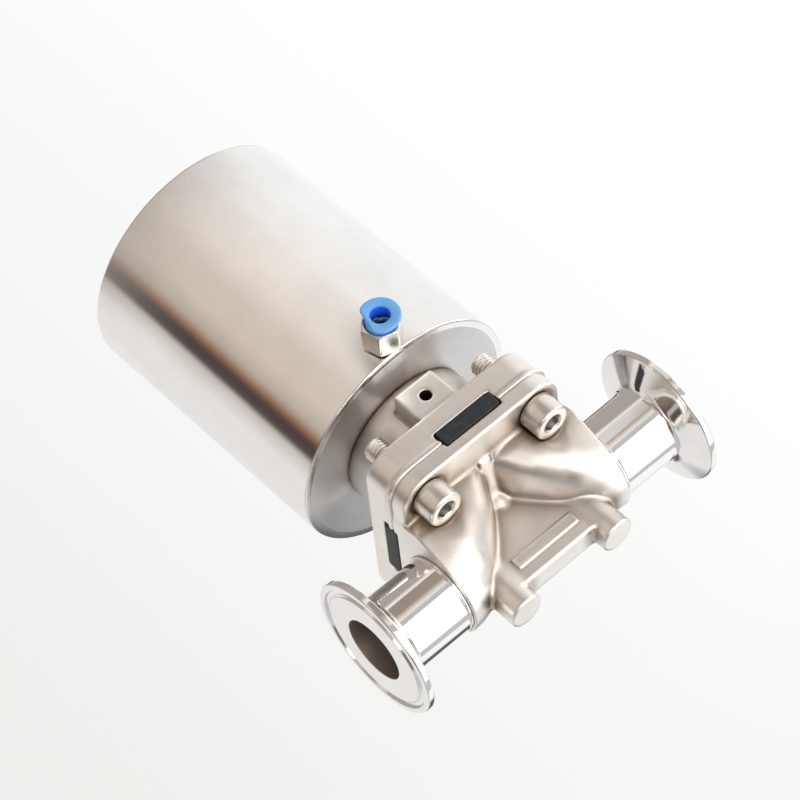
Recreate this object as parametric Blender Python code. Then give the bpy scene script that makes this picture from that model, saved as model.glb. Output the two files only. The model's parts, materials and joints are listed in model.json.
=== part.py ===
"""Pneumatic actuated diaphragm valve with clamp ends.

+Z is the stem axis, X is the pipe axis, and the air port and weep hole face -Y.
The origin is on the pipe axis, straight under the stem. All lengths are in metres.
"""

import math

import bmesh
import bpy
from mathutils import Matrix, Vector

MM = 0.001
GAP = 0.3

# Pipe run
END_X = 63.5
FERRULE_R = 25.25
RIM_THICK = 2.5
BEVEL_END_X = 56.8
TUBE_R = 14.0
BORE_R = 11.5
GROOVE_IN_R = 20.4
GROOVE_OUT_R = 23.1
GROOVE_DEPTH = 1.4

# Cast body
BODY_END_X = 34.0
BODY_END_R = 15.5
FLANGE_X = 33.5
FLANGE_Y = 36.5
FLANGE_CORNER = 11.0
FLANGE_BOTTOM = 15.8
FLANGE_TOP = 21.8
BOWL_X = 15.6
BOWL_RX = 16.6
BOWL_RY = 23.5
WEB_HALF_Y = 5.0
WEB_BOTTOM = -18.4
FOOT_X = 20.0
FOOT_R = 6.2
FOOT_BOTTOM = -24.0
RIB_HALF_X = 2.4
SHOULDER_Y = 21.4
SHOULDER_Z = 9.4

# Screws that join body and bonnet
SCREW_X = 23.0
SCREW_Y = 27.3
SCREW_R = 4.0
SCREW_HOLE_R = 4.4
HEAD_R = 6.5
HEAD_HEIGHT = 8.0
SCREW_TIP_Z = 42.0
SOCKET_AF = 6.0
SOCKET_DEPTH = 4.2

# Diaphragm
RIM_BOTTOM = 22.1
RIM_TOP = 24.3
SEAT_RX = 24.0
SEAT_RY = 19.2
TAB_HALF = 11.6
TAB_SHIFT = 1.5
TAB_BOTTOM = 20.4
TAB_TOP = 26.4
TAB_SLANT = 1.6
TAB_PROUD = 0.7
RIM_HALF_X = 31.4
RIM_HALF_Y = 33.6
RIM_CORNER = 9.5
MEMBRANE_DEPTH = 5.0
MEMBRANE_WALL = 2.3

# Bonnet
BONNET_BOTTOM = 22.1
RIM_RECESS_TOP = 24.6
BONNET_FLANGE_TOP = 34.0
BONNET_Y = 35.8
BONNET_CORNER = 9.5
NECK_R = 25.3
NECK_TOP = 53.8
CAVITY_R = 18.3
CAVITY_TOP = 44.6
SPIGOT_R = 14.0
SPIGOT_TOP = 66.0
GLAND_R = 9.4
BOSS_HALF_X = 8.0
BOSS_FACE_Y = -32.8
BOSS_TOP = 48.0
WEEP_Z = 41.4
WEEP_R = 2.0

# Actuator
SHELL_R = 43.7
SHELL_IN_R = 41.1
SHELL_BOTTOM = 54.1
SHELL_TOP = 159.5
CAP_BOTTOM = 153.5
BASE_TOP = 58.4
PISTON_R = 40.7
PISTON_BOTTOM = 68.0
PISTON_TOP = 80.0
STEM_R = 5.0
STEM_STUD_R = 4.0
STEM_SHOULDER = 67.7
STEM_TOP = 94.0

# Air port
PORT_Z = 60.2
HEX_AF = 12.2
HEX_TURN = math.radians(42.5)
HEX_OUT_Y = -53.9
COLLET_FACE_Y = -57.7
COLLET_R = 6.9
TUBE_HOLE_R = 3.3

# Travel of the stem from closed to open
LIFT = 6.0

FINE = 48
MEDIUM = 36
SMALL = 16

MATERIALS = {
    "cast_steel": (0.62, 0.58, 0.54, 1.0, 0.35, 1.0),
    "polished_steel": (0.80, 0.79, 0.78, 1.0, 0.12, 1.0),
    "satin_steel": (0.70, 0.67, 0.64, 1.0, 0.28, 1.0),
    "screw_steel": (0.66, 0.64, 0.61, 1.0, 0.30, 1.0),
    "nickel": (0.74, 0.71, 0.66, 1.0, 0.20, 1.0),
    "rubber": (0.02, 0.025, 0.03, 1.0, 0.70, 0.0),
    "bearing": (0.30, 0.26, 0.20, 1.0, 0.50, 0.0),
    "blue_plastic": (0.09, 0.36, 0.85, 1.0, 0.35, 0.0),
    "spring_steel": (0.25, 0.26, 0.28, 1.0, 0.40, 1.0),
    "aluminium": (0.72, 0.73, 0.74, 1.0, 0.35, 1.0),
}


def clear_scene():
    for obj in list(bpy.data.objects):
        bpy.data.objects.remove(obj, do_unlink=True)


def material(name, kind):
    red, green, blue, alpha, roughness, metallic = MATERIALS[kind]
    mat = bpy.data.materials.new(name + "_" + kind)
    mat.use_nodes = True
    shader = mat.node_tree.nodes["Principled BSDF"]
    shader.inputs["Base Color"].default_value = (red, green, blue, alpha)
    shader.inputs["Roughness"].default_value = roughness
    shader.inputs["Metallic"].default_value = metallic
    return mat


def object_from(name, points, faces):
    """A mesh object from points in millimetres, with its faces turned outwards."""
    mesh = bpy.data.meshes.new(name)
    mesh.from_pydata([Vector(p) * MM for p in points], [], faces)
    work = bmesh.new()
    work.from_mesh(mesh)
    bmesh.ops.recalc_face_normals(work, faces=work.faces)
    work.to_mesh(mesh)
    work.free()
    obj = bpy.data.objects.new(name, mesh)
    bpy.context.scene.collection.objects.link(obj)
    return obj


def axis_point(axis, radius, along, angle):
    """A point at a radius and an angle round the given axis."""
    a = radius * math.cos(angle)
    b = radius * math.sin(angle)
    if axis == "X":
        return (along, a, b)
    if axis == "Y":
        return (a, along, b)
    return (a, b, along)


def ring(name, profile, axis="Z", steps=MEDIUM, centre=(0, 0, 0)):
    """A closed (radius, along) profile, clear of the axis, turned round it."""
    points = []
    for step in range(steps):
        angle = 2 * math.pi * step / steps
        for radius, along in profile:
            p = axis_point(axis, radius, along, angle)
            points.append([p[i] + centre[i] for i in range(3)])
    count = len(profile)
    faces = []
    for step in range(steps):
        after = (step + 1) % steps
        for i in range(count):
            j = (i + 1) % count
            a = step * count + i
            b = step * count + j
            c = after * count + j
            d = after * count + i
            faces.append((a, b, c, d))
    return object_from(name, points, faces)


def turned(name, profile, axis="Z", steps=MEDIUM, centre=(0, 0, 0), phase=0.0):
    """An open (radius, along) profile with flat ends, turned round the axis."""
    points = []
    for radius, along in profile:
        for step in range(steps):
            angle = phase + 2 * math.pi * step / steps
            p = axis_point(axis, radius, along, angle)
            points.append([p[i] + centre[i] for i in range(3)])
    faces = []
    for row in range(len(profile) - 1):
        for step in range(steps):
            after = (step + 1) % steps
            a = row * steps + step
            b = row * steps + after
            faces.append((a, b, b + steps, a + steps))
    last = (len(profile) - 1) * steps
    faces.append(tuple(range(steps)))
    faces.append(tuple(last + step for step in range(steps)))
    return object_from(name, points, faces)


def rounded_outline(half_x, half_y, corner, per_corner=5):
    outline = []
    for quarter in range(4):
        sign_x = 1 if quarter in (0, 3) else -1
        sign_y = 1 if quarter in (0, 1) else -1
        cx = sign_x * (half_x - corner)
        cy = sign_y * (half_y - corner)
        for i in range(per_corner + 1):
            angle = math.pi / 2 * (quarter + i / per_corner)
            outline.append((cx + corner * math.cos(angle), cy + corner * math.sin(angle)))
    return outline


def ellipse_outline(rx, ry, steps=MEDIUM, cx=0.0):
    outline = []
    for step in range(steps):
        angle = 2 * math.pi * step / steps
        outline.append((cx + rx * math.cos(angle), ry * math.sin(angle)))
    return outline


def prism(name, outline, low, high):
    """An outline in XY, extruded from low to high."""
    count = len(outline)
    points = [(x, y, low) for x, y in outline] + [(x, y, high) for x, y in outline]
    faces = [tuple(range(count)), tuple(range(count, 2 * count))]
    for i in range(count):
        j = (i + 1) % count
        faces.append((i, j, count + j, count + i))
    return object_from(name, points, faces)


def block(name, low, high):
    outline = [(low[0], low[1]), (high[0], low[1]), (high[0], high[1]), (low[0], high[1])]
    return prism(name, outline, low[2], high[2])


def hull(name, points):
    work = bmesh.new()
    for p in points:
        work.verts.new(Vector(p) * MM)
    result = bmesh.ops.convex_hull(work, input=work.verts)
    inside = [v for v in result["geom_interior"] if isinstance(v, bmesh.types.BMVert)]
    unused = [v for v in result["geom_unused"] if isinstance(v, bmesh.types.BMVert)]
    bmesh.ops.delete(work, geom=list(set(inside + unused)), context="VERTS")
    loose = [v for v in work.verts if not v.link_faces]
    bmesh.ops.delete(work, geom=loose, context="VERTS")
    bmesh.ops.recalc_face_normals(work, faces=work.faces)
    mesh = bpy.data.meshes.new(name)
    work.to_mesh(mesh)
    work.free()
    obj = bpy.data.objects.new(name, mesh)
    bpy.context.scene.collection.objects.link(obj)
    return obj


def combine(obj, other, operation):
    """The Boolean of two objects, kept in the first; the second is removed."""
    modifier = obj.modifiers.new("Boolean", "BOOLEAN")
    modifier.object = other
    modifier.operation = operation
    modifier.solver = "EXACT"
    graph = bpy.context.evaluated_depsgraph_get()
    mesh = bpy.data.meshes.new_from_object(obj.evaluated_get(graph))
    obj.modifiers.clear()
    obj.data = mesh
    bpy.data.objects.remove(other, do_unlink=True)
    return obj


def add(obj, other):
    return combine(obj, other, "UNION")


def cut(obj, other):
    return combine(obj, other, "DIFFERENCE")


def finish(obj, kind, sharp=35.0):
    """One material and smooth shading with sharp edges on a node."""
    obj.data.materials.clear()
    obj.data.materials.append(material(obj.name, kind))
    obj.data.shade_smooth()
    obj.data.set_sharp_from_angle(angle=math.radians(sharp))
    return obj


def screw_places():
    places = []
    for sign_x in (-1, 1):
        for sign_y in (-1, 1):
            places.append((sign_x * SCREW_X, sign_y * SCREW_Y))
    return places


def circle_points(radius, x, steps):
    points = []
    for step in range(steps):
        angle = 2 * math.pi * step / steps
        points.append((x, radius * math.cos(angle), radius * math.sin(angle)))
    return points


def elbow_outside(name, side):
    """The cast elbow: a round end that widens into the bowl under the flange."""
    points = circle_points(BODY_END_R, side * BODY_END_X, 24)
    points += circle_points(BODY_END_R, side * (BODY_END_X - 6.5), 24)
    for level in (FLANGE_BOTTOM - 0.6, FLANGE_TOP + 3.0):
        for x, y in ellipse_outline(BOWL_RX, BOWL_RY, 28, side * BOWL_X):
            points.append((x, y, level))
    return hull(name, points)


def tab_spaces(inner_x, inner_y, bottom):
    """The boxes that the four tabs need; those on the long sides sit a little off centre."""
    reach = TAB_HALF + GAP
    top = TAB_TOP + GAP
    spaces = []
    for sign in (-1, 1):
        near, far = sorted((sign * inner_y, sign * 60.0))
        spaces.append(((TAB_SHIFT - reach, near, bottom), (TAB_SHIFT + reach, far, top)))
        near, far = sorted((sign * inner_x, sign * 60.0))
        spaces.append(((near, -reach, bottom), (far, reach, top)))
    return spaces


def shoulder(name, side):
    """The wider wall from the pipe end up to the flange."""
    points = []
    for x in (side * BODY_END_X, side * 20.0):
        for sign in (-1, 1):
            points.append((x, sign * SHOULDER_Y, FLANGE_BOTTOM + 0.6))
            points.append((x, sign * SHOULDER_Y, SHOULDER_Z))
            points.append((x, sign * 14.4, -5.4))
    return hull(name, points)


def elbow_inside(name, side):
    """The flow passage from the pipe bore up to the bowl beside the weir."""
    points = circle_points(BORE_R, side * (BODY_END_X + 1.0), 20)
    points += circle_points(BORE_R, side * (BODY_END_X - 8.0), 20)
    for level in (FLANGE_BOTTOM - 1.0, FLANGE_TOP + 4.0):
        for x, y in ellipse_outline(9.6, 16.5, 20, side * 13.6):
            points.append((x, y, level))
    return hull(name, points)


def lens(name, rx, ry, depth, top, steps=MEDIUM, rows=5, lift=4.0):
    """The lower half of an ellipsoid with a straight skirt above it."""
    points = []
    for row in range(rows):
        angle = math.pi / 2 * (row + 0.6) / (rows - 0.4)
        scale = math.sin(angle)
        z = top - depth * math.cos(angle)
        for x, y in ellipse_outline(rx * scale, ry * scale, steps):
            points.append((x, y, z))
    for x, y in ellipse_outline(rx, ry, steps):
        points.append((x, y, top + lift))
    return hull(name, points)


def make_body():
    outline = rounded_outline(FLANGE_X, FLANGE_Y, FLANGE_CORNER)
    body = prism("valve_body", outline, FLANGE_BOTTOM, FLANGE_TOP + 2.0)
    for side in (-1, 1):
        add(body, elbow_outside("elbow", side))
        add(body, shoulder("shoulder", side))
    web = [(-19.5, -18.4), (19.5, -18.4), (20.5, -8.0), (3.0, 13.5), (-3.0, 13.5), (-20.5, -8.0)]
    points = []
    for x, z in web:
        points += [(x, -WEB_HALF_Y, z), (x, WEB_HALF_Y, z)]
    add(body, hull("web", points))
    rib = []
    for x in (-RIB_HALF_X, RIB_HALF_X):
        for sign in (-1, 1):
            rib += [(x, sign * 4.6, 11.4), (x, sign * 22.0, 14.6), (x, sign * 23.0, 17.5)]
            rib.append((x, sign * 4.6, 17.5))
    add(body, hull("rib", rib))
    for side in (-1, 1):
        foot = [(FOOT_R - 0.6, FOOT_BOTTOM), (FOOT_R, FOOT_BOTTOM + 0.6), (FOOT_R, -3.0)]
        add(body, turned("foot", foot, "Z", SMALL, (side * FOOT_X, 0, 0)))
    for side in (-1, 1):
        cut(body, elbow_inside("passage", side))
    cut(body, lens("bowl", SEAT_RX, SEAT_RY, 4.6, FLANGE_TOP, 28))
    for x, y in screw_places():
        hole = [(SCREW_HOLE_R, 5.0), (SCREW_HOLE_R, 26.0)]
        cut(body, turned("hole", hole, "Z", 16, (x, y, 0)))
        seat = [(HEAD_R + 0.7, 5.0), (HEAD_R + 0.7, FLANGE_BOTTOM + 0.05)]
        cut(body, turned("seat", seat, "Z", SMALL, (x, y, 0)))
    cut(body, block("above", (-60, -60, FLANGE_TOP), (60, 60, FLANGE_TOP + 20)))
    for low, high in tab_spaces(FLANGE_X - 1.5, FLANGE_Y - 1.5, TAB_BOTTOM - GAP):
        cut(body, block("notch", low, high))
    return finish(body, "cast_steel")


def make_ferrule(name, side):
    profile = [
        (BORE_R, END_X),
        (GROOVE_IN_R, END_X),
        (GROOVE_IN_R + 0.45, END_X - GROOVE_DEPTH),
        (GROOVE_OUT_R - 0.45, END_X - GROOVE_DEPTH),
        (GROOVE_OUT_R, END_X),
        (FERRULE_R - 0.4, END_X),
        (FERRULE_R, END_X - 0.4),
        (FERRULE_R, END_X - RIM_THICK + 0.3),
        (FERRULE_R - 0.3, END_X - RIM_THICK),
        (TUBE_R + 1.0, BEVEL_END_X + 0.4),
        (TUBE_R, BEVEL_END_X - 0.6),
        (TUBE_R, BODY_END_X + GAP),
        (BORE_R, BODY_END_X + GAP),
    ]
    placed = [(radius, side * along) for radius, along in profile]
    return finish(ring(name, placed, "X", MEDIUM), "polished_steel")


def tab_outline():
    """The front of a tab: a bar whose corners are cut at a slant."""
    outer = TAB_HALF
    inner = TAB_HALF - 2.2
    low = TAB_BOTTOM
    high = TAB_TOP
    outline = [(-inner, low), (inner, low), (outer, low + TAB_SLANT), (outer, high - TAB_SLANT)]
    outline += [(inner, high), (-inner, high), (-outer, high - TAB_SLANT), (-outer, low + TAB_SLANT)]
    return outline


def tab(name, axis, near, far):
    """A tab through the flange's edge; its lower half is only the outer lip."""
    points = []
    for along, z in tab_outline():
        for out in (near, far):
            points.append((along + TAB_SHIFT, out, z) if axis == "Y" else (out, along, z))
    return hull(name, points)


def make_diaphragm_rim():
    outline = rounded_outline(RIM_HALF_X, RIM_HALF_Y, RIM_CORNER, 6)
    rim = prism("diaphragm_rim", outline, RIM_BOTTOM, RIM_TOP)
    for sign in (-1, 1):
        root = FLANGE_Y - 1.5 + GAP
        add(rim, tab("tab", "Y", sign * root, sign * (BONNET_Y + TAB_PROUD)))
        low, high = sorted((sign * 30.0, sign * (root + 0.6)))
        add(rim, block("root", (-8.0, low, RIM_BOTTOM), (8.0, high, TAB_TOP - 0.1)))
        root = FLANGE_X - 1.5 + GAP
        add(rim, tab("tab", "X", sign * root, sign * (FLANGE_X + TAB_PROUD - 0.2)))
        low, high = sorted((sign * 28.0, sign * (root + 0.6)))
        add(rim, block("root", (low, -8.0, RIM_BOTTOM + 0.05), (high, 8.0, TAB_TOP - 0.15)))
    opening = prism("opening", ellipse_outline(SEAT_RX, SEAT_RY, 28), 15.0, 30.0)
    cut(rim, opening)
    for x, y in screw_places():
        hole = [(SCREW_HOLE_R + 0.3, 15.0), (SCREW_HOLE_R + 0.3, 30.0)]
        cut(rim, turned("hole", hole, "Z", 16, (x, y, 0)))
    return finish(rim, "rubber")


def make_membrane():
    """The flexible centre, pressed down on the weir: a shell with an open top."""
    rx = SEAT_RX - GAP
    ry = SEAT_RY - GAP
    steps = 24
    points = []
    rows = []
    for row in range(6):
        angle = math.pi / 2 * row / 5
        rows.append((math.sin(angle), RIM_BOTTOM + 0.3 - (MEMBRANE_DEPTH - 0.3) * math.cos(angle)))
    rows.append((1.0, RIM_TOP))
    inner = [(1.0 - MEMBRANE_WALL / rx, RIM_TOP)]
    for row in range(5, -1, -1):
        angle = math.pi / 2 * row / 5
        scale = (1.0 - MEMBRANE_WALL / rx) * math.sin(angle)
        inner.append((scale, RIM_TOP - 0.1 - (MEMBRANE_DEPTH - 0.5) * math.cos(angle)))
    loops = rows[1:] + inner[:-1]
    points.append((0, 0, rows[0][1]))
    for scale, z in loops:
        for x, y in ellipse_outline(rx * scale, ry * scale, steps):
            points.append((x, y, z))
    points.append((0, 0, inner[-1][1]))
    faces = []
    for i in range(steps):
        j = (i + 1) % steps
        faces.append((0, 1 + i, 1 + j))
        for row in range(len(loops) - 1):
            a = 1 + row * steps
            b = a + steps
            faces.append((a + i, a + j, b + j, b + i))
        last = 1 + (len(loops) - 1) * steps
        faces.append((last + i, last + j, len(points) - 1))
    return finish(object_from("diaphragm_membrane", points, faces), "rubber")


def make_compressor():
    """The convex foot that presses the diaphragm, with the stud and stem bores."""
    top = 35.0
    foot = lens("compressor", 17.0, 14.2, 3.6, 24.0, 32, 5, 2.6)
    add(foot, turned("hub", [(9.4, 22.0), (9.4, top - 0.6), (8.8, top)], "Z", SMALL))
    cut(foot, turned("stud_bore", [(3.3, 5.0), (3.3, 26.4)], "Z", 16))
    cut(foot, turned("stem_bore", [(STEM_R + GAP, 27.5), (STEM_R + GAP, 50.0)], "Z", SMALL))
    cut(foot, turned("pin_bore", [(1.8, -20.0), (1.8, 20.0)], "X", 12, (0, 0, 31.0)))
    return finish(foot, "satin_steel")


def make_stem():
    stem = turned(
        "stem",
        [
            (STEM_R - 0.5, 27.9),
            (STEM_R, 28.4),
            (STEM_R, STEM_SHOULDER),
            (STEM_STUD_R, STEM_SHOULDER),
            (STEM_STUD_R, STEM_TOP - 0.6),
            (STEM_STUD_R - 0.6, STEM_TOP),
        ],
        "Z",
        SMALL,
    )
    cut(stem, turned("pin_bore", [(1.8, -20.0), (1.8, 20.0)], "X", 12, (0, 0, 31.0)))
    return finish(stem, "polished_steel")


def make_bonnet():
    outline = rounded_outline(FLANGE_X, BONNET_Y, BONNET_CORNER)
    bonnet = prism("bonnet", outline, BONNET_BOTTOM, BONNET_FLANGE_TOP)
    neck = [
        (NECK_R, BONNET_FLANGE_TOP - 2.0),
        (NECK_R, NECK_TOP),
        (SPIGOT_R, NECK_TOP),
        (SPIGOT_R, SPIGOT_TOP - 0.6),
        (SPIGOT_R - 0.6, SPIGOT_TOP),
    ]
    add(bonnet, turned("neck", neck, "Z", MEDIUM))
    low = (-BOSS_HALF_X, BOSS_FACE_Y, BONNET_FLANGE_TOP - 1.5)
    add(bonnet, block("boss", low, (BOSS_HALF_X, -15.0, BOSS_TOP)))
    recess = rounded_outline(RIM_HALF_X + GAP, RIM_HALF_Y + GAP, RIM_CORNER + GAP, 6)
    cut(bonnet, prism("recess", recess, 15.0, RIM_RECESS_TOP))
    cut(bonnet, prism("seat", ellipse_outline(SEAT_RX - 0.7, SEAT_RY - 0.5, 28), 20.0, 29.0))
    cut(bonnet, turned("cavity", [(CAVITY_R, 20.0), (CAVITY_R, CAVITY_TOP)], "Z", MEDIUM))
    cut(bonnet, turned("gland", [(GLAND_R, 40.0), (GLAND_R, 80.0)], "Z", SMALL))
    weep = [(WEEP_R, -50.0), (WEEP_R, -10.0)]
    cut(bonnet, turned("weep", weep, "Y", 16, (0, 0, WEEP_Z)))
    for x, y in screw_places():
        hole = [(SCREW_R + GAP, 15.0), (SCREW_R + GAP, 60.0)]
        cut(bonnet, turned("hole", hole, "Z", 16, (x, y, 0)))
    for low, high in tab_spaces(27.6, 29.6, 10.0):
        cut(bonnet, block("notch", low, high))
    return finish(bonnet, "cast_steel")


def make_screw(name, x, y):
    top = FLANGE_BOTTOM - GAP
    bottom = top - HEAD_HEIGHT
    profile = [
        (HEAD_R - 0.7, bottom),
        (HEAD_R, bottom + 0.7),
        (HEAD_R, top - 0.3),
        (HEAD_R - 0.3, top),
        (SCREW_R, top),
        (SCREW_R, SCREW_TIP_Z - 0.9),
        (SCREW_R - 0.9, SCREW_TIP_Z),
    ]
    screw = turned(name, profile, "Z", SMALL, (x, y, 0))
    socket_r = SOCKET_AF / 2 / math.cos(math.pi / 6)
    socket = [(socket_r, bottom - 2.0), (socket_r, bottom + SOCKET_DEPTH)]
    cut(screw, turned("socket", socket, "Z", 6, (x, y, 0), 0.3))
    return finish(screw, "screw_steel")


def make_base():
    base = ring(
        "actuator_base",
        [
            (SPIGOT_R + GAP, SHELL_BOTTOM),
            (SHELL_IN_R - GAP - 0.4, SHELL_BOTTOM),
            (SHELL_IN_R - GAP, SHELL_BOTTOM + 0.4),
            (SHELL_IN_R - GAP, 55.4),
            (38.9, 55.4),
            (38.9, 57.4),
            (SHELL_IN_R - GAP, 57.4),
            (SHELL_IN_R - GAP, BASE_TOP),
            (SPIGOT_R + GAP, BASE_TOP),
        ],
        "Z",
        FINE,
    )
    finish(base, "satin_steel")
    seal = [(39.2, 55.7), (40.6, 55.7), (40.9, 56.4), (40.6, 57.1), (39.2, 57.1)]
    finish(ring("base_seal", seal, "Z", MEDIUM), "rubber")
    nut = ring("spigot_nut", [(SPIGOT_R + GAP, 58.8), (20.0, 58.8), (20.0, 64.8), (SPIGOT_R + GAP, 64.8)], "Z", 36)
    for turn in range(4):
        angle = math.pi / 2 * turn + 0.6
        slot = block("slot", (17.6, -2.0, 61.0), (24.0, 2.0, 70.0))
        slot.matrix_world = Matrix.Rotation(angle, 4, "Z")
        bpy.context.view_layer.update()
        cut(nut, slot)
    finish(nut, "screw_steel")
    make_retaining_ring()


def make_retaining_ring():
    """A split ring over the cover, with its gap at the air port."""
    points = []
    steps = 40
    half = math.radians(15)
    for step in range(steps + 1):
        angle = -math.pi / 2 + half + (2 * math.pi - 2 * half) * step / steps
        for radius, z in ((38.4, 58.7), (41.0, 58.7), (41.0, 60.0), (38.4, 60.0)):
            points.append((radius * math.cos(angle), radius * math.sin(angle), z))
    faces = [(0, 1, 2, 3)]
    for step in range(steps):
        for i in range(4):
            j = (i + 1) % 4
            a = step * 4
            faces.append((a + i, a + j, a + 4 + j, a + 4 + i))
    last = steps * 4
    faces.append((last, last + 1, last + 2, last + 3))
    finish(object_from("base_retaining_ring", points, faces), "spring_steel")


def make_shell():
    shell = ring(
        "actuator_shell",
        [
            (SHELL_IN_R, SHELL_BOTTOM),
            (SHELL_R - 0.35, SHELL_BOTTOM),
            (SHELL_R, SHELL_BOTTOM + 0.35),
            (SHELL_R, SHELL_TOP - 0.9),
            (SHELL_R - 0.3, SHELL_TOP - 0.3),
            (SHELL_R - 0.9, SHELL_TOP),
            (6.3, SHELL_TOP),
            (6.3, CAP_BOTTOM),
            (SHELL_IN_R, CAP_BOTTOM),
        ],
        "Z",
        FINE,
    )
    port = [(3.9, -60.0), (3.9, -30.0)]
    cut(shell, turned("port", port, "Y", SMALL, (0, 0, PORT_Z)))
    finish(shell, "satin_steel")
    plug = [(6.0, CAP_BOTTOM + 0.4), (6.0, SHELL_TOP - 0.5), (5.6, SHELL_TOP - 0.1)]
    finish(turned("breather_plug", plug, "Z", SMALL), "bearing")


def make_piston():
    bore = STEM_STUD_R + GAP
    piston = ring(
        "piston",
        [
            (bore, PISTON_BOTTOM),
            (PISTON_R - 0.5, PISTON_BOTTOM),
            (PISTON_R, PISTON_BOTTOM + 0.5),
            (PISTON_R, 70.4),
            (37.6, 70.4),
            (37.6, 74.0),
            (PISTON_R, 74.0),
            (PISTON_R, 75.6),
            (39.0, 75.6),
            (39.0, 78.4),
            (PISTON_R, 78.4),
            (PISTON_R, PISTON_TOP),
            (36.0, PISTON_TOP),
            (36.0, PISTON_TOP - 5.0),
            (12.0, PISTON_TOP - 5.0),
            (12.0, PISTON_TOP),
            (bore, PISTON_TOP),
        ],
        "Z",
        MEDIUM,
    )
    finish(piston, "aluminium")
    seal = [(37.9, 70.7), (40.4, 70.7), (40.9, 71.4), (40.9, 73.1), (40.4, 73.7), (37.9, 73.7)]
    finish(ring("piston_seal", seal, "Z", MEDIUM), "rubber")
    guide = [(39.3, 75.9), (40.9, 75.9), (40.9, 78.1), (39.3, 78.1)]
    finish(ring("piston_guide_ring", guide, "Z", MEDIUM), "bearing")
    washer = [(bore, PISTON_TOP + GAP), (9.0, PISTON_TOP + GAP), (9.0, 82.0), (bore, 82.0)]
    finish(ring("piston_washer", washer, "Z", SMALL), "screw_steel")
    nut_r = 13.0 / 2 / math.cos(math.pi / 6)
    nut = turned("piston_nut", [(nut_r, 82.3), (nut_r, 89.0)], "Z", 6)
    cut(nut, turned("thread", [(bore, 70.0), (bore, 99.0)], "Z", SMALL))
    finish(nut, "screw_steel")


def make_gland():
    inner = STEM_R + GAP
    outer = GLAND_R - GAP
    bush = [(inner, 49.6), (outer, 49.6), (outer, 64.0), (inner, 64.0)]
    finish(ring("rod_bush", bush, "Z", SMALL), "bearing")
    seal = [(inner, 47.2), (outer, 47.2), (outer, 49.3), (inner, 49.3)]
    finish(ring("rod_seal", seal, "Z", SMALL), "rubber")
    wiper = [(inner, 44.9), (inner + 1.0, 44.6), (outer, 44.9), (outer, 46.9), (inner, 46.9)]
    finish(ring("rod_wiper", wiper, "Z", SMALL), "rubber")


def make_spring(name, mean_r, wire_r, low, high, coils, per_coil, sides=5):
    """A round wire coil between two levels, with closed end turns."""
    travel = high - low - 2 * wire_r - 0.1
    rows = coils * per_coil
    points = []
    for row in range(rows + 1):
        share = row / rows
        eased = min(max((share * coils - 0.6) / (coils - 1.2), 0.0), 1.0)
        angle = 2 * math.pi * share * coils
        z = low + wire_r + 0.05 + travel * eased
        out = Vector((math.cos(angle), math.sin(angle), 0))
        for side in range(sides):
            turn = 2 * math.pi * side / sides
            p = out * (mean_r + wire_r * math.cos(turn))
            points.append((p.x, p.y, z + wire_r * math.sin(turn)))
    faces = [tuple(range(sides))]
    for row in range(rows):
        a = row * sides
        for i in range(sides):
            j = (i + 1) % sides
            faces.append((a + i, a + j, a + sides + j, a + sides + i))
    last = rows * sides
    faces.append(tuple(last + i for i in range(sides)))
    return finish(object_from(name, points, faces), "spring_steel", 60.0)


def make_fitting():
    hex_r = HEX_AF / 2 / math.cos(math.pi / 6)
    centre = (0, 0, PORT_Z)
    profile = [(hex_r, -44.6), (hex_r, HEX_OUT_Y + 0.5), (hex_r - 0.5, HEX_OUT_Y)]
    body = turned("fitting_body", profile, "Y", 6, centre, HEX_TURN)
    add(body, turned("thread", [(3.55, -41.4), (3.55, -46.0)], "Y", SMALL, centre))
    cut(body, turned("socket", [(5.4, -60.0), (5.4, -47.2)], "Y", SMALL, centre))
    cut(body, turned("bore", [(2.3, -60.0), (2.3, -38.0)], "Y", SMALL, centre))
    finish(body, "nickel")
    gasket = [(4.0, -43.95), (5.6, -43.95), (5.6, -44.3), (4.0, -44.3)]
    finish(ring("fitting_gasket", gasket, "Y", SMALL, centre), "rubber")
    seal = [(TUBE_HOLE_R, -47.5), (5.1, -47.5), (5.1, -49.0), (TUBE_HOLE_R, -49.0)]
    finish(ring("tube_seal", seal, "Y", SMALL, centre), "rubber")
    grip = [(TUBE_HOLE_R, -49.3), (5.1, -49.6), (5.1, -50.0), (TUBE_HOLE_R, -50.0)]
    finish(ring("grip_ring", grip, "Y", SMALL, centre), "spring_steel")


def make_collet():
    """The release collet: a sleeve with a flange that is cut straight on one side."""
    centre = Vector((0, 0, PORT_Z))
    flat = math.radians(165.0)
    reach = 4.8
    outline = []
    for step in range(40):
        angle = 2 * math.pi * step / 40
        x = COLLET_R * math.cos(angle)
        z = COLLET_R * math.sin(angle)
        along = x * math.cos(flat) + z * math.sin(flat)
        if along > reach:
            x -= (along - reach) * math.cos(flat)
            z -= (along - reach) * math.sin(flat)
        outline.append((x, z))
    points = []
    for y in (COLLET_FACE_Y, COLLET_FACE_Y + 1.3):
        for x, z in outline:
            points.append((x, y, z + centre.z))
    count = len(outline)
    faces = [tuple(range(count)), tuple(range(count, 2 * count))]
    for i in range(count):
        j = (i + 1) % count
        faces.append((i, j, count + j, count + i))
    collet = object_from("release_collet", points, faces)
    sleeve = [(5.0, COLLET_FACE_Y + 0.7), (5.0, -51.9)]
    add(collet, turned("sleeve", sleeve, "Y", SMALL, (0, 0, PORT_Z)))
    bore = [(TUBE_HOLE_R, -70.0), (TUBE_HOLE_R, -40.0)]
    cut(collet, turned("bore", bore, "Y", SMALL, (0, 0, PORT_Z)))
    return finish(collet, "blue_plastic")


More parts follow.
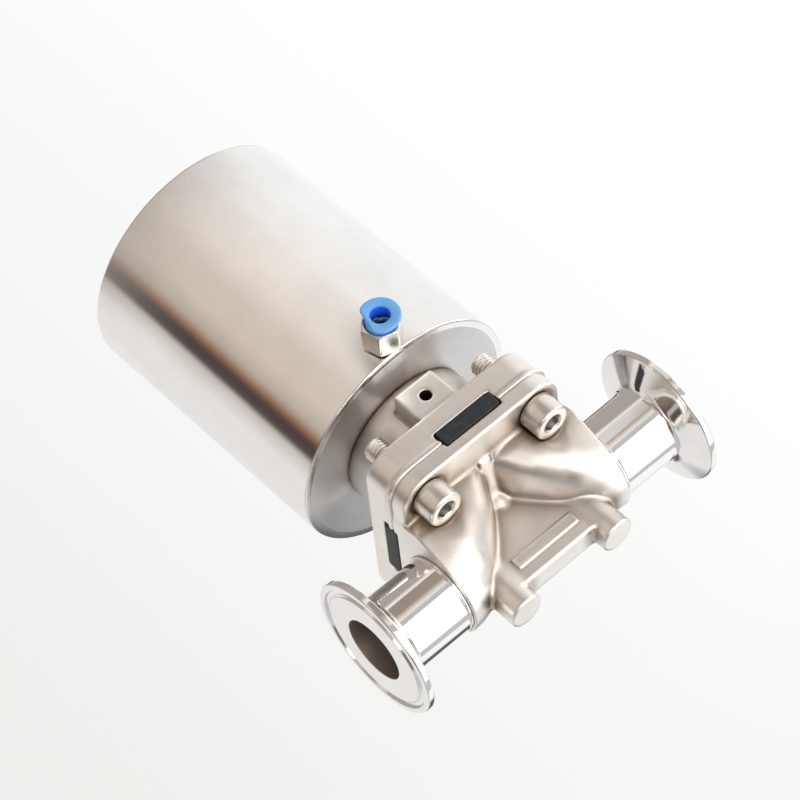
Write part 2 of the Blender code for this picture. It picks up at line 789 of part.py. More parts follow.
def move_origin(names, parent_name, place):
    """Gives a moving group an empty on its axis and keeps each piece in place."""
    empty = bpy.data.objects.new(parent_name, None)
    empty.location = Vector(place) * MM
    bpy.context.scene.collection.objects.link(empty)
    bpy.context.view_layer.update()
    for name in names:
        obj = bpy.data.objects[name]
        obj.parent = empty
        obj.matrix_parent_inverse = empty.matrix_world.inverted()


def main():
    clear_scene()
    make_body()
    make_ferrule("inlet_ferrule", -1)
    make_ferrule("outlet_ferrule", 1)
    make_diaphragm_rim()
    make_membrane()
    stud = [(2.9, 20.1), (2.9, 26.0)]
    finish(turned("diaphragm_stud", stud, "Z", 12), "screw_steel")
    make_compressor()
    pin = [(1.5, -8.6), (1.5, 8.6)]
    finish(turned("compressor_pin", pin, "X", 12, (0, 0, 31.0)), "screw_steel")
    make_stem()
    make_bonnet()
    for index, (x, y) in enumerate(screw_places()):
        make_screw("body_screw_" + str(index + 1), x, y)
    make_base()
    make_shell()
    make_piston()
    make_gland()
    make_spring("outer_spring", 31.0, 2.3, PISTON_TOP - 5.0 + GAP, CAP_BOTTOM - GAP, 6, 12)
    make_spring("inner_spring", 20.0, 1.8, PISTON_TOP - 5.0 + GAP, CAP_BOTTOM - GAP, 7, 10)
    make_fitting()
    make_collet()
    moving = ["compressor", "compressor_pin", "diaphragm_stud", "stem", "piston", "piston_seal"]
    moving += ["piston_guide_ring", "piston_washer", "piston_nut"]
    move_origin(moving, "stem_axis", (0, 0, 0))
    move_origin(["release_collet"], "collet_axis", (0, COLLET_FACE_Y, PORT_Z))
    bpy.context.view_layer.update()


main()
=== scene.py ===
"""Looks for the pneumatic diaphragm valve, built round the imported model.

Lengths in the helper functions are in millimetres, and places follow the CAD boxes.
"""

import json
import math

import bmesh
import bpy
import numpy as np
from mathutils import Matrix, Vector


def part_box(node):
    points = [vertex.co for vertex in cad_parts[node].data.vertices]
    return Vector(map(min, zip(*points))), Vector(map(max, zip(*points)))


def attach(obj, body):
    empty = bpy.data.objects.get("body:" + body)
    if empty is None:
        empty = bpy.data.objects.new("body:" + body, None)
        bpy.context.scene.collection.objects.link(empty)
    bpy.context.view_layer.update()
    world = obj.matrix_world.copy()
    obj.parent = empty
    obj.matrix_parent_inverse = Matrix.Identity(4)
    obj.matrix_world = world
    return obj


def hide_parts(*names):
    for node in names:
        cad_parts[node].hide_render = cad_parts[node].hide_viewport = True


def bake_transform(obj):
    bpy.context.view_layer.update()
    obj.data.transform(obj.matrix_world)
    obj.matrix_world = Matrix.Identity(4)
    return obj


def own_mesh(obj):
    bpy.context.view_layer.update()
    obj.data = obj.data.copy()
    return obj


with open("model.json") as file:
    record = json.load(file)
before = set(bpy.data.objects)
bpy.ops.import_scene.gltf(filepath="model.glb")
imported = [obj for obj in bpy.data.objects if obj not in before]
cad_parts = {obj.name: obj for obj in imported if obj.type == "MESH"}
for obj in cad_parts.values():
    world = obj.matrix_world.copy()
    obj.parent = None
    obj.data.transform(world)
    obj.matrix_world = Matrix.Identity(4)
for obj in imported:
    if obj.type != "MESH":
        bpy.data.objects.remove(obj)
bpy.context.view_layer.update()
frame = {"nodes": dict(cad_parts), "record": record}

MM = 0.001


def node_box(node):
    """A CAD node's lowest and highest corner, in millimetres."""
    low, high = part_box(node)
    return Vector(low) / MM, Vector(high) / MM


BODY_LOW, BODY_HIGH = node_box("valve_body")
BONNET_LOW, BONNET_HIGH = node_box("bonnet")
SHELL_LOW, SHELL_HIGH = node_box("actuator_shell")
BASE_HIGH = node_box("actuator_base")[1]
FERRULE_HIGH = node_box("outlet_ferrule")[1]
RIM_LOW, RIM_HIGH = node_box("diaphragm_rim")
SCREW_LOW, SCREW_HIGH = node_box("body_screw_1")
COLLET_LOW, COLLET_HIGH = node_box("release_collet")

FLANGE_X = BONNET_HIGH.x
BODY_FLANGE_Y = BODY_HIGH.y
BONNET_FLANGE_Y = BONNET_HIGH.y
FLANGE_CORNER = 11.0
FLANGE_TOP = BODY_HIGH.z
FLANGE_BOTTOM = FLANGE_TOP - 6.0
BODY_END_X = BODY_HIGH.x
BORE_R = 11.5
BONNET_CORNER = 9.5
BONNET_FLANGE_TOP = 34.0
NECK_R = 25.3
NECK_TOP = 53.8
SHOULDER_Y = 21.4
TAB_HALF = 11.6
TAB_SHIFT = 1.5
TAB_SPACE = TAB_HALF + 0.3
TAB_SPACE_LOW = 20.1
TAB_SPACE_TOP = 26.7
FOOT_X = 20.0
FOOT_R = 6.2
SCREW_X = 23.0
SCREW_Y = 27.3
HEAD_R = (SCREW_HIGH.x - SCREW_LOW.x) / 2
PORT_Z = (COLLET_LOW.z + COLLET_HIGH.z) / 2


# ---------------------------------------------------------------- camera and light

LENS = 147.26
CAMERA_PLACE = (-370.88, -871.92, -436.71)
CAMERA_FORWARD = (0.35181, 0.81152, 0.46654)
CAMERA_UP = (0.58122, -0.58007, 0.57071)


def make_camera():
    forward = Vector(CAMERA_FORWARD).normalized()
    right = forward.cross(Vector(CAMERA_UP)).normalized()
    up = right.cross(forward)
    data = bpy.data.cameras.new("camera")
    data.lens = LENS
    data.sensor_width = 36.0
    data.clip_start = 0.01
    data.clip_end = 100.0
    camera = bpy.data.objects.new("camera", data)
    bpy.context.scene.collection.objects.link(camera)
    turn = Matrix((right, up, -forward)).transposed().to_4x4()
    camera.matrix_world = Matrix.Translation(Vector(CAMERA_PLACE) * MM) @ turn
    bpy.context.scene.camera = camera
    return camera


def direction(azimuth, elevation):
    """A unit vector; azimuth 0 is +X and 90 is +Y, in degrees."""
    a = math.radians(azimuth)
    e = math.radians(elevation)
    return Vector((math.cos(a) * math.cos(e), math.sin(a) * math.cos(e), math.sin(e)))


AIM = Vector((0, 0, 60)) * MM


def facing(place):
    return (AIM - place).to_track_quat("-Z", "Y").to_matrix().to_4x4()


def softbox(name, azimuth, elevation, distance, width, height, radiance, colour):
    data = bpy.data.lights.new(name, "AREA")
    data.shape = "RECTANGLE"
    data.size = width
    data.size_y = height
    data.energy = radiance * math.pi * width * height
    data.color = colour
    light = bpy.data.objects.new(name, data)
    bpy.context.scene.collection.objects.link(light)
    place = AIM + direction(azimuth, elevation) * distance
    light.matrix_world = Matrix.Translation(place) @ facing(place)
    light.visible_camera = False
    return light


def card(name, azimuth, elevation, distance, width, height, stops, fade):
    """A card beside the set that dark reflections come from, soft at its edges."""
    mesh = bpy.data.meshes.new(name)
    w = width / 2
    h = height / 2
    mesh.from_pydata([(-w, -h, 0), (w, -h, 0), (w, h, 0), (-w, h, 0)], [], [(0, 1, 2, 3)])
    obj = bpy.data.objects.new(name, mesh)
    bpy.context.scene.collection.objects.link(obj)
    place = AIM + direction(azimuth, elevation) * distance
    obj.matrix_world = Matrix.Translation(place) @ facing(place)
    mat, nodes, links = new_material(name)
    coords = nodes.new("ShaderNodeTexCoord")
    split = nodes.new("ShaderNodeSeparateXYZ")
    links.new(coords.outputs["Generated"], split.inputs["Vector"])
    glow = nodes.new("ShaderNodeEmission")
    links.new(ramp(nodes, links, split.outputs["X"], stops), glow.inputs["Color"])
    across = math_node(nodes, links, "PINGPONG", split.outputs["X"], 0.5)
    along = math_node(nodes, links, "PINGPONG", split.outputs["Y"], 0.5)
    middle = math_node(nodes, links, "MULTIPLY", across, along)
    solid = ramp(nodes, links, middle, [(0.0, grey(0.0)), (fade, grey(1.0))], True)
    clear = nodes.new("ShaderNodeBsdfTransparent")
    mix = nodes.new("ShaderNodeMixShader")
    links.new(solid, mix.inputs["Fac"])
    links.new(clear.outputs["BSDF"], mix.inputs[1])
    links.new(glow.outputs["Emission"], mix.inputs[2])
    links.new(mix.outputs["Shader"], nodes["Material Output"].inputs["Surface"])
    mesh.materials.append(mat)
    obj.visible_camera = False
    obj.visible_diffuse = False
    obj.visible_shadow = False
    return obj


FLOOR_HALF = 6.0
FLOOR_Z = -1.6


def make_floor():
    """A wide pale floor well below the valve; its sizes are in metres."""
    mesh = bpy.data.meshes.new("floor")
    s = FLOOR_HALF
    z = FLOOR_Z
    mesh.from_pydata([(-s, -s, z), (s, -s, z), (s, s, z), (-s, s, z)], [], [(0, 1, 2, 3)])
    floor = bpy.data.objects.new("floor", mesh)
    bpy.context.scene.collection.objects.link(floor)
    mat, nodes, _ = new_material("floor")
    shader = nodes["Principled BSDF"]
    shader.inputs["Base Color"].default_value = (0.86, 0.92, 0.96, 1)
    shader.inputs["Roughness"].default_value = 0.8
    mesh.materials.append(mat)


def grey(level):
    return (level, level, level)


# The room's colour round the compass, at the height that the actuator's side mirrors.
ROOM = [
    (0, (0.98, 0.98, 0.97)),
    (60, (0.97, 0.98, 0.98)),
    (75, (0.84, 0.83, 0.81)),
    (150, (0.84, 0.82, 0.80)),
    (169, (0.62, 0.58, 0.54)),
    (174, (0.08, 0.06, 0.06)),
    (185, (0.07, 0.05, 0.05)),
    (191, (0.32, 0.16, 0.09)),
    (199, (0.52, 0.45, 0.38)),
    (216, (0.70, 0.61, 0.53)),
    (243, (0.73, 0.65, 0.57)),
    (264, (0.88, 0.80, 0.73)),
    (298, (0.92, 0.87, 0.82)),
    (312, (0.98, 0.96, 0.93)),
    (360, (0.98, 0.98, 0.97)),
]
# The darker, warmer stretch near the horizon in front of the valve.
HORIZON = [
    (0, (0.95, 0.95, 0.94)),
    (160, (0.80, 0.78, 0.76)),
    (178, (0.10, 0.08, 0.07)),
    (192, (0.14, 0.10, 0.08)),
    (215, (0.42, 0.35, 0.29)),
    (300, (0.42, 0.35, 0.29)),
    (335, (0.95, 0.93, 0.90)),
    (360, (0.95, 0.95, 0.94)),
]
# The paler stretch under the horizon.
LOW = [
    (0, (0.95, 0.95, 0.94)),
    (160, (0.80, 0.78, 0.76)),
    (178, (0.10, 0.08, 0.07)),
    (196, (0.14, 0.10, 0.08)),
    (225, (0.42, 0.36, 0.31)),
    (262, (0.52, 0.45, 0.39)),
    (284, (0.84, 0.77, 0.70)),
    (300, (0.88, 0.81, 0.74)),
    (335, (0.95, 0.93, 0.90)),
    (360, (0.95, 0.95, 0.94)),
]
# Where round the compass the grey ceiling comes down lower.
FRONT_SIDE = [
    (0, grey(0.4)),
    (30, grey(0.0)),
    (130, grey(0.0)),
    (165, grey(1.0)),
    (330, grey(1.0)),
    (360, grey(0.4)),
]
CEILING = (0.42, 0.38, 0.35)


def compass(nodes, links, azimuth, stops):
    return ramp(nodes, links, azimuth, [(angle / 360, colour) for angle, colour in stops])


def math_node(nodes, links, operation, first, second=None):
    node = nodes.new("ShaderNodeMath")
    node.operation = operation
    for socket, value in zip(node.inputs, (first, second)):
        if hasattr(value, "is_output"):
            links.new(value, socket)
        elif value is not None:
            socket.default_value = value
    return node.outputs["Value"]


def make_world():
    """A pale room: darker behind the valve's left side, warm in front, grey overhead."""
    world = bpy.data.worlds.new("studio")
    bpy.context.scene.world = world
    world.use_nodes = True
    nodes = world.node_tree.nodes
    links = world.node_tree.links
    coords = nodes.new("ShaderNodeTexCoord")
    split = nodes.new("ShaderNodeSeparateXYZ")
    links.new(coords.outputs["Generated"], split.inputs["Vector"])
    turn = math_node(nodes, links, "ARCTAN2", split.outputs["Y"], split.outputs["X"])
    azimuth = math_node(nodes, links, "DIVIDE", turn, 2 * math.pi)
    azimuth = math_node(nodes, links, "FRACT", azimuth)
    room = compass(nodes, links, azimuth, ROOM)
    low = compass(nodes, links, azimuth, HORIZON)
    height = split.outputs["Z"]
    height = math_node(nodes, links, "MULTIPLY_ADD", height, 0.5)
    height.node.inputs[2].default_value = 0.5
    rise = ramp(nodes, links, height, [(0.42, grey(0.0)), (0.52, grey(1.0))])
    low = mix_colour(nodes, links, rise, compass(nodes, links, azimuth, LOW), low)
    lift = ramp(nodes, links, height, [(0.60, grey(0.0)), (0.68, grey(1.0))])
    colour = mix_colour(nodes, links, lift, low, room)
    front = compass(nodes, links, azimuth, FRONT_SIDE)
    over = ramp(nodes, links, height, [(0.785, grey(0.0)), (0.835, grey(1.0))])
    over = mix_colour(nodes, links, front, grey(0.0), over)
    top = ramp(nodes, links, height, [(0.86, grey(0.0)), (0.94, grey(1.0))])
    over = mix_colour(nodes, links, 1.0, over, top, "LIGHTEN")
    colour = mix_colour(nodes, links, over, colour, CEILING)
    back = nodes["Background"]
    links.new(colour, back.inputs["Color"])
    back.inputs["Strength"].default_value = 1.04


def even(colour):
    return [(0.0, colour), (1.0, colour)]


DARK_SIDE = [(0.0, (0.42, 0.36, 0.31)), (0.35, (0.12, 0.09, 0.08)), (1.0, (0.12, 0.09, 0.08))]
SHADE = even((0.13, 0.125, 0.12))
UNDER = even((0.26, 0.21, 0.17))
FRONT = [
    (0.0, (0.38, 0.34, 0.31)),
    (0.56, (0.34, 0.285, 0.24)),
    (0.68, (0.75, 0.72, 0.69)),
    (1.0, (0.80, 0.78, 0.76)),
]
DARK_TOP = even((0.10, 0.09, 0.08))


WARM = (1.0, 0.965, 0.93)


def make_set():
    """The room, the floor, and what the steel mirrors; distances are in metres."""
    make_world()
    make_floor()
    softbox("low_front", 285, -48, 1.7, 1.5, 1.25, 2.0, WARM)
    softbox("low_left", 230, -40, 1.6, 0.5, 0.45, 2.4, WARM)
    softbox("low_middle", 0, -66, 1.5, 1.3, 1.0, 1.3, WARM)
    softbox("right_side", 346, -10, 1.6, 1.3, 0.9, 1.6, WARM)
    softbox("low_back", 66, -30, 1.7, 1.5, 0.9, 0.48, grey(1.0))
    card("dark_low_left", 184, -40, 1.3, 0.65, 0.85, DARK_SIDE, 0.03)
    card("dark_under", 200, -66, 1.2, 0.95, 0.7, UNDER, 0.06)
    card("shade_back", 84.0, -17.0, 0.33, 0.27, 0.22, SHADE, 0.10)
    card("shade_front", 287.7, 8.2, 0.366, 0.46, 0.20, FRONT, 0.025)
    card("dark_top", 62, 47, 1.3, 1.05, 0.28, DARK_TOP, 0.04)


# ---------------------------------------------------------------- materials


def new_material(name):
    mat = bpy.data.materials.new(name)
    mat.use_nodes = True
    return mat, mat.node_tree.nodes, mat.node_tree.links


def noise(nodes, links, scale, detail=4.0, rough=0.6, stretch=None):
    """A noise texture on object coordinates, in metres."""
    coords = nodes.new("ShaderNodeTexCoord")
    texture = nodes.new("ShaderNodeTexNoise")
    texture.inputs["Scale"].default_value = scale
    texture.inputs["Detail"].default_value = detail
    texture.inputs["Roughness"].default_value = rough
    if stretch:
        mapping = nodes.new("ShaderNodeMapping")
        mapping.inputs["Scale"].default_value = stretch
        links.new(coords.outputs["Object"], mapping.inputs["Vector"])
        links.new(mapping.outputs["Vector"], texture.inputs["Vector"])
    else:
        links.new(coords.outputs["Object"], texture.inputs["Vector"])
    return texture.outputs["Fac"]


def ramp(nodes, links, value, stops, smooth=False):
    """A colour ramp over a value, from (position, colour) stops."""
    node = nodes.new("ShaderNodeValToRGB")
    elements = node.color_ramp.elements
    while len(elements) < len(stops):
        elements.new(0.5)
    node.color_ramp.interpolation = "EASE" if smooth else "LINEAR"
    for element, (place, colour) in zip(elements, stops):
        element.position = place
        element.color = (*colour, 1) if len(colour) == 3 else colour
    links.new(value, node.inputs["Fac"])
    return node.outputs["Color"]


def mix_colour(nodes, links, factor, a, b, blend="MIX"):
    node = nodes.new("ShaderNodeMix")
    node.data_type = "RGBA"
    node.blend_type = blend
    for socket, value in ((node.inputs[0], factor), (node.inputs[6], a), (node.inputs[7], b)):
        if hasattr(value, "is_output"):
            links.new(value, socket)
        elif isinstance(value, (int, float)):
            socket.default_value = value
        else:
            socket.default_value = (*value, 1)
    return node.outputs[2]


def bump(nodes, links, shader, height, strength, distance):
    node = nodes.new("ShaderNodeBump")
    node.inputs["Strength"].default_value = strength
    node.inputs["Distance"].default_value = distance
    links.new(height, node.inputs["Height"])
    links.new(node.outputs["Normal"], shader.inputs["Normal"])
    return node


def cast_material():
    """Blasted stainless casting: fine grain, soft mottling, and painted shade in the hollows."""
    mat, nodes, links = new_material("cast_steel")
    shader = nodes["Principled BSDF"]
    shader.inputs["Metallic"].default_value = 1.0
    mottle = noise(nodes, links, 110.0, 5.0, 0.55)
    tone = ramp(nodes, links, mottle, [(0.3, (0.83, 0.79, 0.75)), (0.7, (0.91, 0.88, 0.85))])
    # Painted shade: the more closed in a point is, the more its colour turns a dark brown.
    cavity = nodes.new("ShaderNodeAttribute")
    cavity.attribute_name = "cavity"
    shade = ramp(nodes, links, cavity.outputs["Fac"], [(0.08, grey(0.0)), (0.62, grey(1.0))])
    colour = mix_colour(nodes, links, shade, tone, (0.36, 0.29, 0.235))
    links.new(colour, shader.inputs["Base Color"])
    grain = noise(nodes, links, 1500.0, 3.0, 0.7)
    rough = ramp(nodes, links, grain, [(0.2, grey(0.31)), (0.8, grey(0.42))])
    links.new(rough, shader.inputs["Roughness"])
    bump(nodes, links, shader, grain, 0.16, 0.0002)
    return mat


def line_noise(nodes, links, value, scale, detail=3.0):
    """Noise that changes with one number only, such as a radius or a height."""
    texture = nodes.new("ShaderNodeTexNoise")
    texture.noise_dimensions = "1D"
    texture.inputs["Scale"].default_value = scale
    texture.inputs["Detail"].default_value = detail
    links.new(value, texture.inputs["W"])
    return texture.outputs["Fac"]


def satin_material(name, colour, low, high, anisotropy, rings, groove_bump, fineness):
    """Turned stainless steel: its fine grooves are rings on a face, or go round a side."""
    mat, nodes, links = new_material(name)
    shader = nodes["Principled BSDF"]
    shader.inputs["Metallic"].default_value = 1.0
    mottle = noise(nodes, links, 42.0, 5.0, 0.6)
    darker = tuple(c * 0.93 for c in colour)
    tone = ramp(nodes, links, mottle, [(0.35, darker), (0.65, colour)])
    links.new(tone, shader.inputs["Base Color"])
    coords = nodes.new("ShaderNodeTexCoord")
    split = nodes.new("ShaderNodeSeparateXYZ")
    links.new(coords.outputs["Object"], split.inputs["Vector"])
    if rings:
        flat = nodes.new("ShaderNodeCombineXYZ")
        links.new(split.outputs["X"], flat.inputs["X"])
        links.new(split.outputs["Y"], flat.inputs["Y"])
        length = nodes.new("ShaderNodeVectorMath")
        length.operation = "LENGTH"
        links.new(flat.outputs["Vector"], length.inputs[0])
        place = length.outputs["Value"]
    else:
        place = split.outputs["Z"]
    groove = line_noise(nodes, links, place, fineness)
    rough = ramp(nodes, links, groove, [(0.3, grey(low)), (0.7, grey(high))])
    links.new(rough, shader.inputs["Roughness"])
    shader.inputs["Anisotropic"].default_value = anisotropy
    shader.inputs["Anisotropic Rotation"].default_value = 0.25
    tangent = nodes.new("ShaderNodeTangent")
    tangent.direction_type = "RADIAL"
    tangent.axis = "Z"
    links.new(tangent.outputs["Tangent"], shader.inputs["Tangent"])
    bump(nodes, links, shader, groove, groove_bump, 0.00003)
    return mat


def polished_material():
    mat, nodes, links = new_material("polished_steel")
    shader = nodes["Principled BSDF"]
    shader.inputs["Metallic"].default_value = 1.0
    smear = noise(nodes, links, 120.0, 4.0, 0.6)
    tone = ramp(nodes, links, smear, [(0.3, (0.86, 0.85, 0.84)), (0.7, (0.91, 0.905, 0.90))])
    coords = nodes.new("ShaderNodeTexCoord")
    split = nodes.new("ShaderNodeSeparateXYZ")
    links.new(coords.outputs["Object"], split.inputs["Vector"])
    far = math_node(nodes, links, "POWER", split.outputs["Y"], 2.0)
    up = math_node(nodes, links, "POWER", split.outputs["Z"], 2.0)
    radius = math_node(nodes, links, "SQRT", math_node(nodes, links, "ADD", far, up))
    # Painted shade: inside the bore the colour turns a dark brown; the steel there is also rougher.
    edge = (BORE_R + 0.15) * MM
    bore = math_node(nodes, links, "LESS_THAN", radius, edge)
    colour = mix_colour(nodes, links, bore, tone, (0.42, 0.36, 0.31))
    links.new(colour, shader.inputs["Base Color"])
    fine = noise(nodes, links, 600.0, 3.0, 0.6)
    rough = ramp(nodes, links, fine, [(0.3, grey(0.055)), (0.7, grey(0.09))])
    rough = mix_colour(nodes, links, bore, rough, grey(0.55))
    links.new(rough, shader.inputs["Roughness"])
    return mat


def metal_material(name, colour, low, high, scale=700.0, bumpy=0.08):
    mat, nodes, links = new_material(name)
    shader = nodes["Principled BSDF"]
    shader.inputs["Metallic"].default_value = 1.0
    patch = noise(nodes, links, 200.0, 4.0, 0.6)
    tone = ramp(nodes, links, patch, [(0.3, tuple(c * 0.88 for c in colour)), (0.7, colour)])
    # Painted shade: points marked as closed in, such as a screw's socket, are darkened to 0.55 of
    # the colour.
    cavity = nodes.new("ShaderNodeAttribute")
    cavity.attribute_name = "cavity"
    tone = mix_colour(nodes, links, cavity.outputs["Fac"], tone, tuple(c * 0.55 for c in colour))
    links.new(tone, shader.inputs["Base Color"])
    fine = noise(nodes, links, scale, 3.0, 0.6)
    rough = ramp(nodes, links, fine, [(0.3, grey(low)), (0.7, grey(high))])
    links.new(rough, shader.inputs["Roughness"])
    bump(nodes, links, shader, fine, bumpy, 0.0001)
    return mat


def rubber_material():
    mat, nodes, links = new_material("rubber")
    shader = nodes["Principled BSDF"]
    patch = noise(nodes, links, 350.0, 5.0, 0.65)
    stops = [
        (0.35, (0.012, 0.016, 0.022)),
        (0.62, (0.022, 0.028, 0.036)),
        (0.8, (0.06, 0.065, 0.07)),
    ]
    links.new(ramp(nodes, links, patch, stops), shader.inputs["Base Color"])
    fine = noise(nodes, links, 1300.0, 3.0, 0.6)
    rough = ramp(nodes, links, fine, [(0.3, grey(0.45)), (0.7, grey(0.65))])
    links.new(rough, shader.inputs["Roughness"])
    bump(nodes, links, shader, fine, 0.25, 0.0002)
    return mat


def plastic_material(name, colour, low=0.28, high=0.42):
    mat, nodes, links = new_material(name)
    shader = nodes["Principled BSDF"]
    patch = noise(nodes, links, 250.0, 3.0, 0.5)
    tone = ramp(nodes, links, patch, [(0.3, tuple(c * 0.93 for c in colour)), (0.7, colour)])
    # Painted shade: points marked as closed in, such as the collet's bore, turn to a deeper colour.
    cavity = nodes.new("ShaderNodeAttribute")
    cavity.attribute_name = "cavity"
    tone = mix_colour(nodes, links, cavity.outputs["Fac"], tone, tuple(c**3 for c in colour))
    links.new(tone, shader.inputs["Base Color"])
    fine = noise(nodes, links, 1600.0, 2.0, 0.5)
    rough = ramp(nodes, links, fine, [(0.3, grey(low)), (0.7, grey(high))])
    links.new(rough, shader.inputs["Roughness"])
    bump(nodes, links, shader, fine, 0.05, 0.0001)
    return mat


# ---------------------------------------------------------------- mesh helpers


def mesh_object(name, points, faces):
    mesh = bpy.data.meshes.new(name)
    mesh.from_pydata((np.asarray(points, float) * MM).tolist(), [], faces)
    mesh.update()
    obj = bpy.data.objects.new(name, mesh)
    bpy.context.scene.collection.objects.link(obj)
    return obj


def dress(obj, material, body="valve", stands_for=(), sharp=35.0):
    """Gives a piece its material, shading, body, slot and the nodes it stands for.

    A piece with no body is left unattached.
    """
    obj.data.materials.clear()
    obj.data.materials.append(material)
    obj.data.shade_smooth()
    if sharp:
        obj.data.set_sharp_from_angle(angle=math.radians(sharp))
    if body:
        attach(obj, body)
    if stands_for:
        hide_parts(*stands_for)
    return obj


def mark_cavity(obj, depth):
    """Stores how closed in each point is, from 0 to 1, for the materials to darken as painted
    shade.
    """
    attribute = obj.data.attributes.new("cavity", "FLOAT", "POINT")
    attribute.data.foreach_set("value", depth)


def soften(profile, closed=False):
    """Rounds a profile's corners: each point is (radius, along, rounding)."""
    out = []
    count = len(profile)
    for i, (r, a, rounding) in enumerate(profile):
        ends = not closed and i in (0, count - 1)
        if ends or rounding <= 0:
            out.append((r, a))
            continue
        here = np.array((r, a), float)
        before = np.array(profile[i - 1][:2], float) - here
        after = np.array(profile[(i + 1) % count][:2], float) - here
        reach = min(rounding, 0.45 * np.hypot(*before), 0.45 * np.hypot(*after))
        start = here + before / np.hypot(*before) * reach
        end = here + after / np.hypot(*after) * reach
        for t in np.linspace(0, 1, 6):
            p = (1 - t) ** 2 * start + 2 * t * (1 - t) * here + t * t * end
            out.append(tuple(p))
    return out


def stack(name, rings, close_ends=True, loop=False):
    """A surface through rings of equal count; loop joins the last ring to the first."""
    count = len(rings[0])
    points = np.concatenate([np.asarray(ring, float) for ring in rings])
    faces = []
    last = len(rings) if loop else len(rings) - 1
    for row in range(last):
        a = row * count
        b = ((row + 1) % len(rings)) * count
        for i in range(count):
            j = (i + 1) % count
            faces.append((a + i, a + j, b + j, b + i))
    if close_ends and not loop:
        faces.append(tuple(reversed(range(count))))
        faces.append(tuple(range(len(points) - count, len(points))))
    obj = mesh_object(name, points, faces)
    turn_out(obj)
    return obj


def turn_out(obj):
    """Turns every face outward."""
    work = bmesh.new()
    work.from_mesh(obj.data)
    bmesh.ops.recalc_face_normals(work, faces=work.faces)
    work.to_mesh(obj.data)
    work.free()


def place_ring(axis, centre, radius, along, angles):
    """Points round an axis; the radius may be one number or one for each angle."""
    a = radius * np.cos(angles)
    b = radius * np.sin(angles)
    h = np.full_like(angles, along)
    order = {"X": (h, a, b), "Y": (a, h, b), "Z": (a, b, h)}[axis]
    return np.stack(order, 1) + np.asarray(centre, float)


def lathe(name, profile, axis="Z", steps=128, centre=(0, 0, 0), closed=True):
    """A profile of (radius, along, rounding) turned round an axis."""
    angles = np.linspace(0, 2 * math.pi, steps, endpoint=False)
    rings = [place_ring(axis, centre, r, a, angles) for r, a in soften(profile, closed)]
    return stack(name, rings, close_ends=not closed, loop=closed)


def hexagon(angles, across_flats, turn=0.0):
    """The radius of a hexagon at each angle."""
    sector = math.pi / 3
    local = np.mod(angles - turn + sector / 2, sector) - sector / 2
    return across_flats / 2 / np.cos(local)


# ---------------------------------------------------------------- cast shapes


class Block:
    """A grid of points, in millimetres, on which distances are worked out."""

    def __init__(self, low, high, step):
        self.step = step
        self.low = np.asarray(low, float)
        counts = np.ceil((np.asarray(high, float) - self.low) / step).astype(int) + 1
        axes = [self.low[i] + step * np.arange(counts[i]) for i in range(3)]
        self.x = axes[0].astype(np.float32)[:, None, None]
        self.y = axes[1].astype(np.float32)[None, :, None]
        self.z = axes[2].astype(np.float32)[None, None, :]

    def plate(self, half_x, half_y, corner, low, high, edge):
        """A plate with rounded corners in plan and rounded edges."""
        dx = np.abs(self.x) - (half_x - corner)
        dy = np.abs(self.y) - (half_y - corner)
        plan = np.hypot(np.maximum(dx, 0), np.maximum(dy, 0))
        plan = plan + np.minimum(np.maximum(dx, dy), 0) - corner + edge
        side = np.abs(self.z - (low + high) / 2) - (high - low) / 2 + edge
        return rounded_corner(plan, side, edge)

    def box(self, low, high, edge):
        centre = [(a + b) / 2 for a, b in zip(low, high)]
        half = [(b - a) / 2 - edge for a, b in zip(low, high)]
        d = [np.abs(axis - c) - h for axis, c, h in zip((self.x, self.y, self.z), centre, half)]
        out = np.sqrt(sum(np.maximum(e, 0) ** 2 for e in d))
        return out + np.minimum(np.maximum(np.maximum(d[0], d[1]), d[2]), 0) - edge

    def rod(self, axis, centre, radius, low, high, edge=0.0):
        across = [a for a in "XYZ" if a != axis]
        values = {"X": self.x, "Y": self.y, "Z": self.z}
        u = values[across[0]] - centre[0]
        v = values[across[1]] - centre[1]
        plan = np.hypot(u, v) - radius + edge
        side = np.abs(values[axis] - (low + high) / 2) - (high - low) / 2 + edge
        return rounded_corner(plan, side, edge)

    def bowl(self, centre_z, rx, ry, rz):
        q = np.sqrt((self.x / rx) ** 2 + (self.y / ry) ** 2 + ((self.z - centre_z) / rz) ** 2)
        return (q - 1) * min(rx, ry, rz)

    def sweep(self, sections, samples):
        """Squashed balls along a path; a section is (x, z, half width, radius, squareness)."""
        rows = np.asarray(sections, float)
        places = np.linspace(0, len(rows) - 1, samples)
        result = None
        for place in places:
            row = [np.interp(place, np.arange(len(rows)), rows[:, i]) for i in range(5)]
            cx, cz, width, radius, power = row
            flat = np.hypot(self.x - cx, self.z - cz) / radius
            wide = np.abs(self.y) / width
            d = (flat**power + wide**power) ** (1 / power)
            d = (d - 1) * radius
            result = d if result is None else np.minimum(result, d)
        return result


def rounded_corner(plan, side, edge):
    out = np.hypot(np.maximum(plan, 0), np.maximum(side, 0))
    return out + np.minimum(np.maximum(plan, side), 0) - edge


def join(a, b, blend=0.0):
    if not blend:
        return np.minimum(a, b)
    h = np.clip(0.5 + 0.5 * (b - a) / blend, 0, 1)
    return b * (1 - h) + a * h - blend * h * (1 - h)


def remove(a, b, blend=0.0):
    return -join(-a, b, blend)


def meet(a, b, blend=0.0):
    return -join(-a, -b, blend)


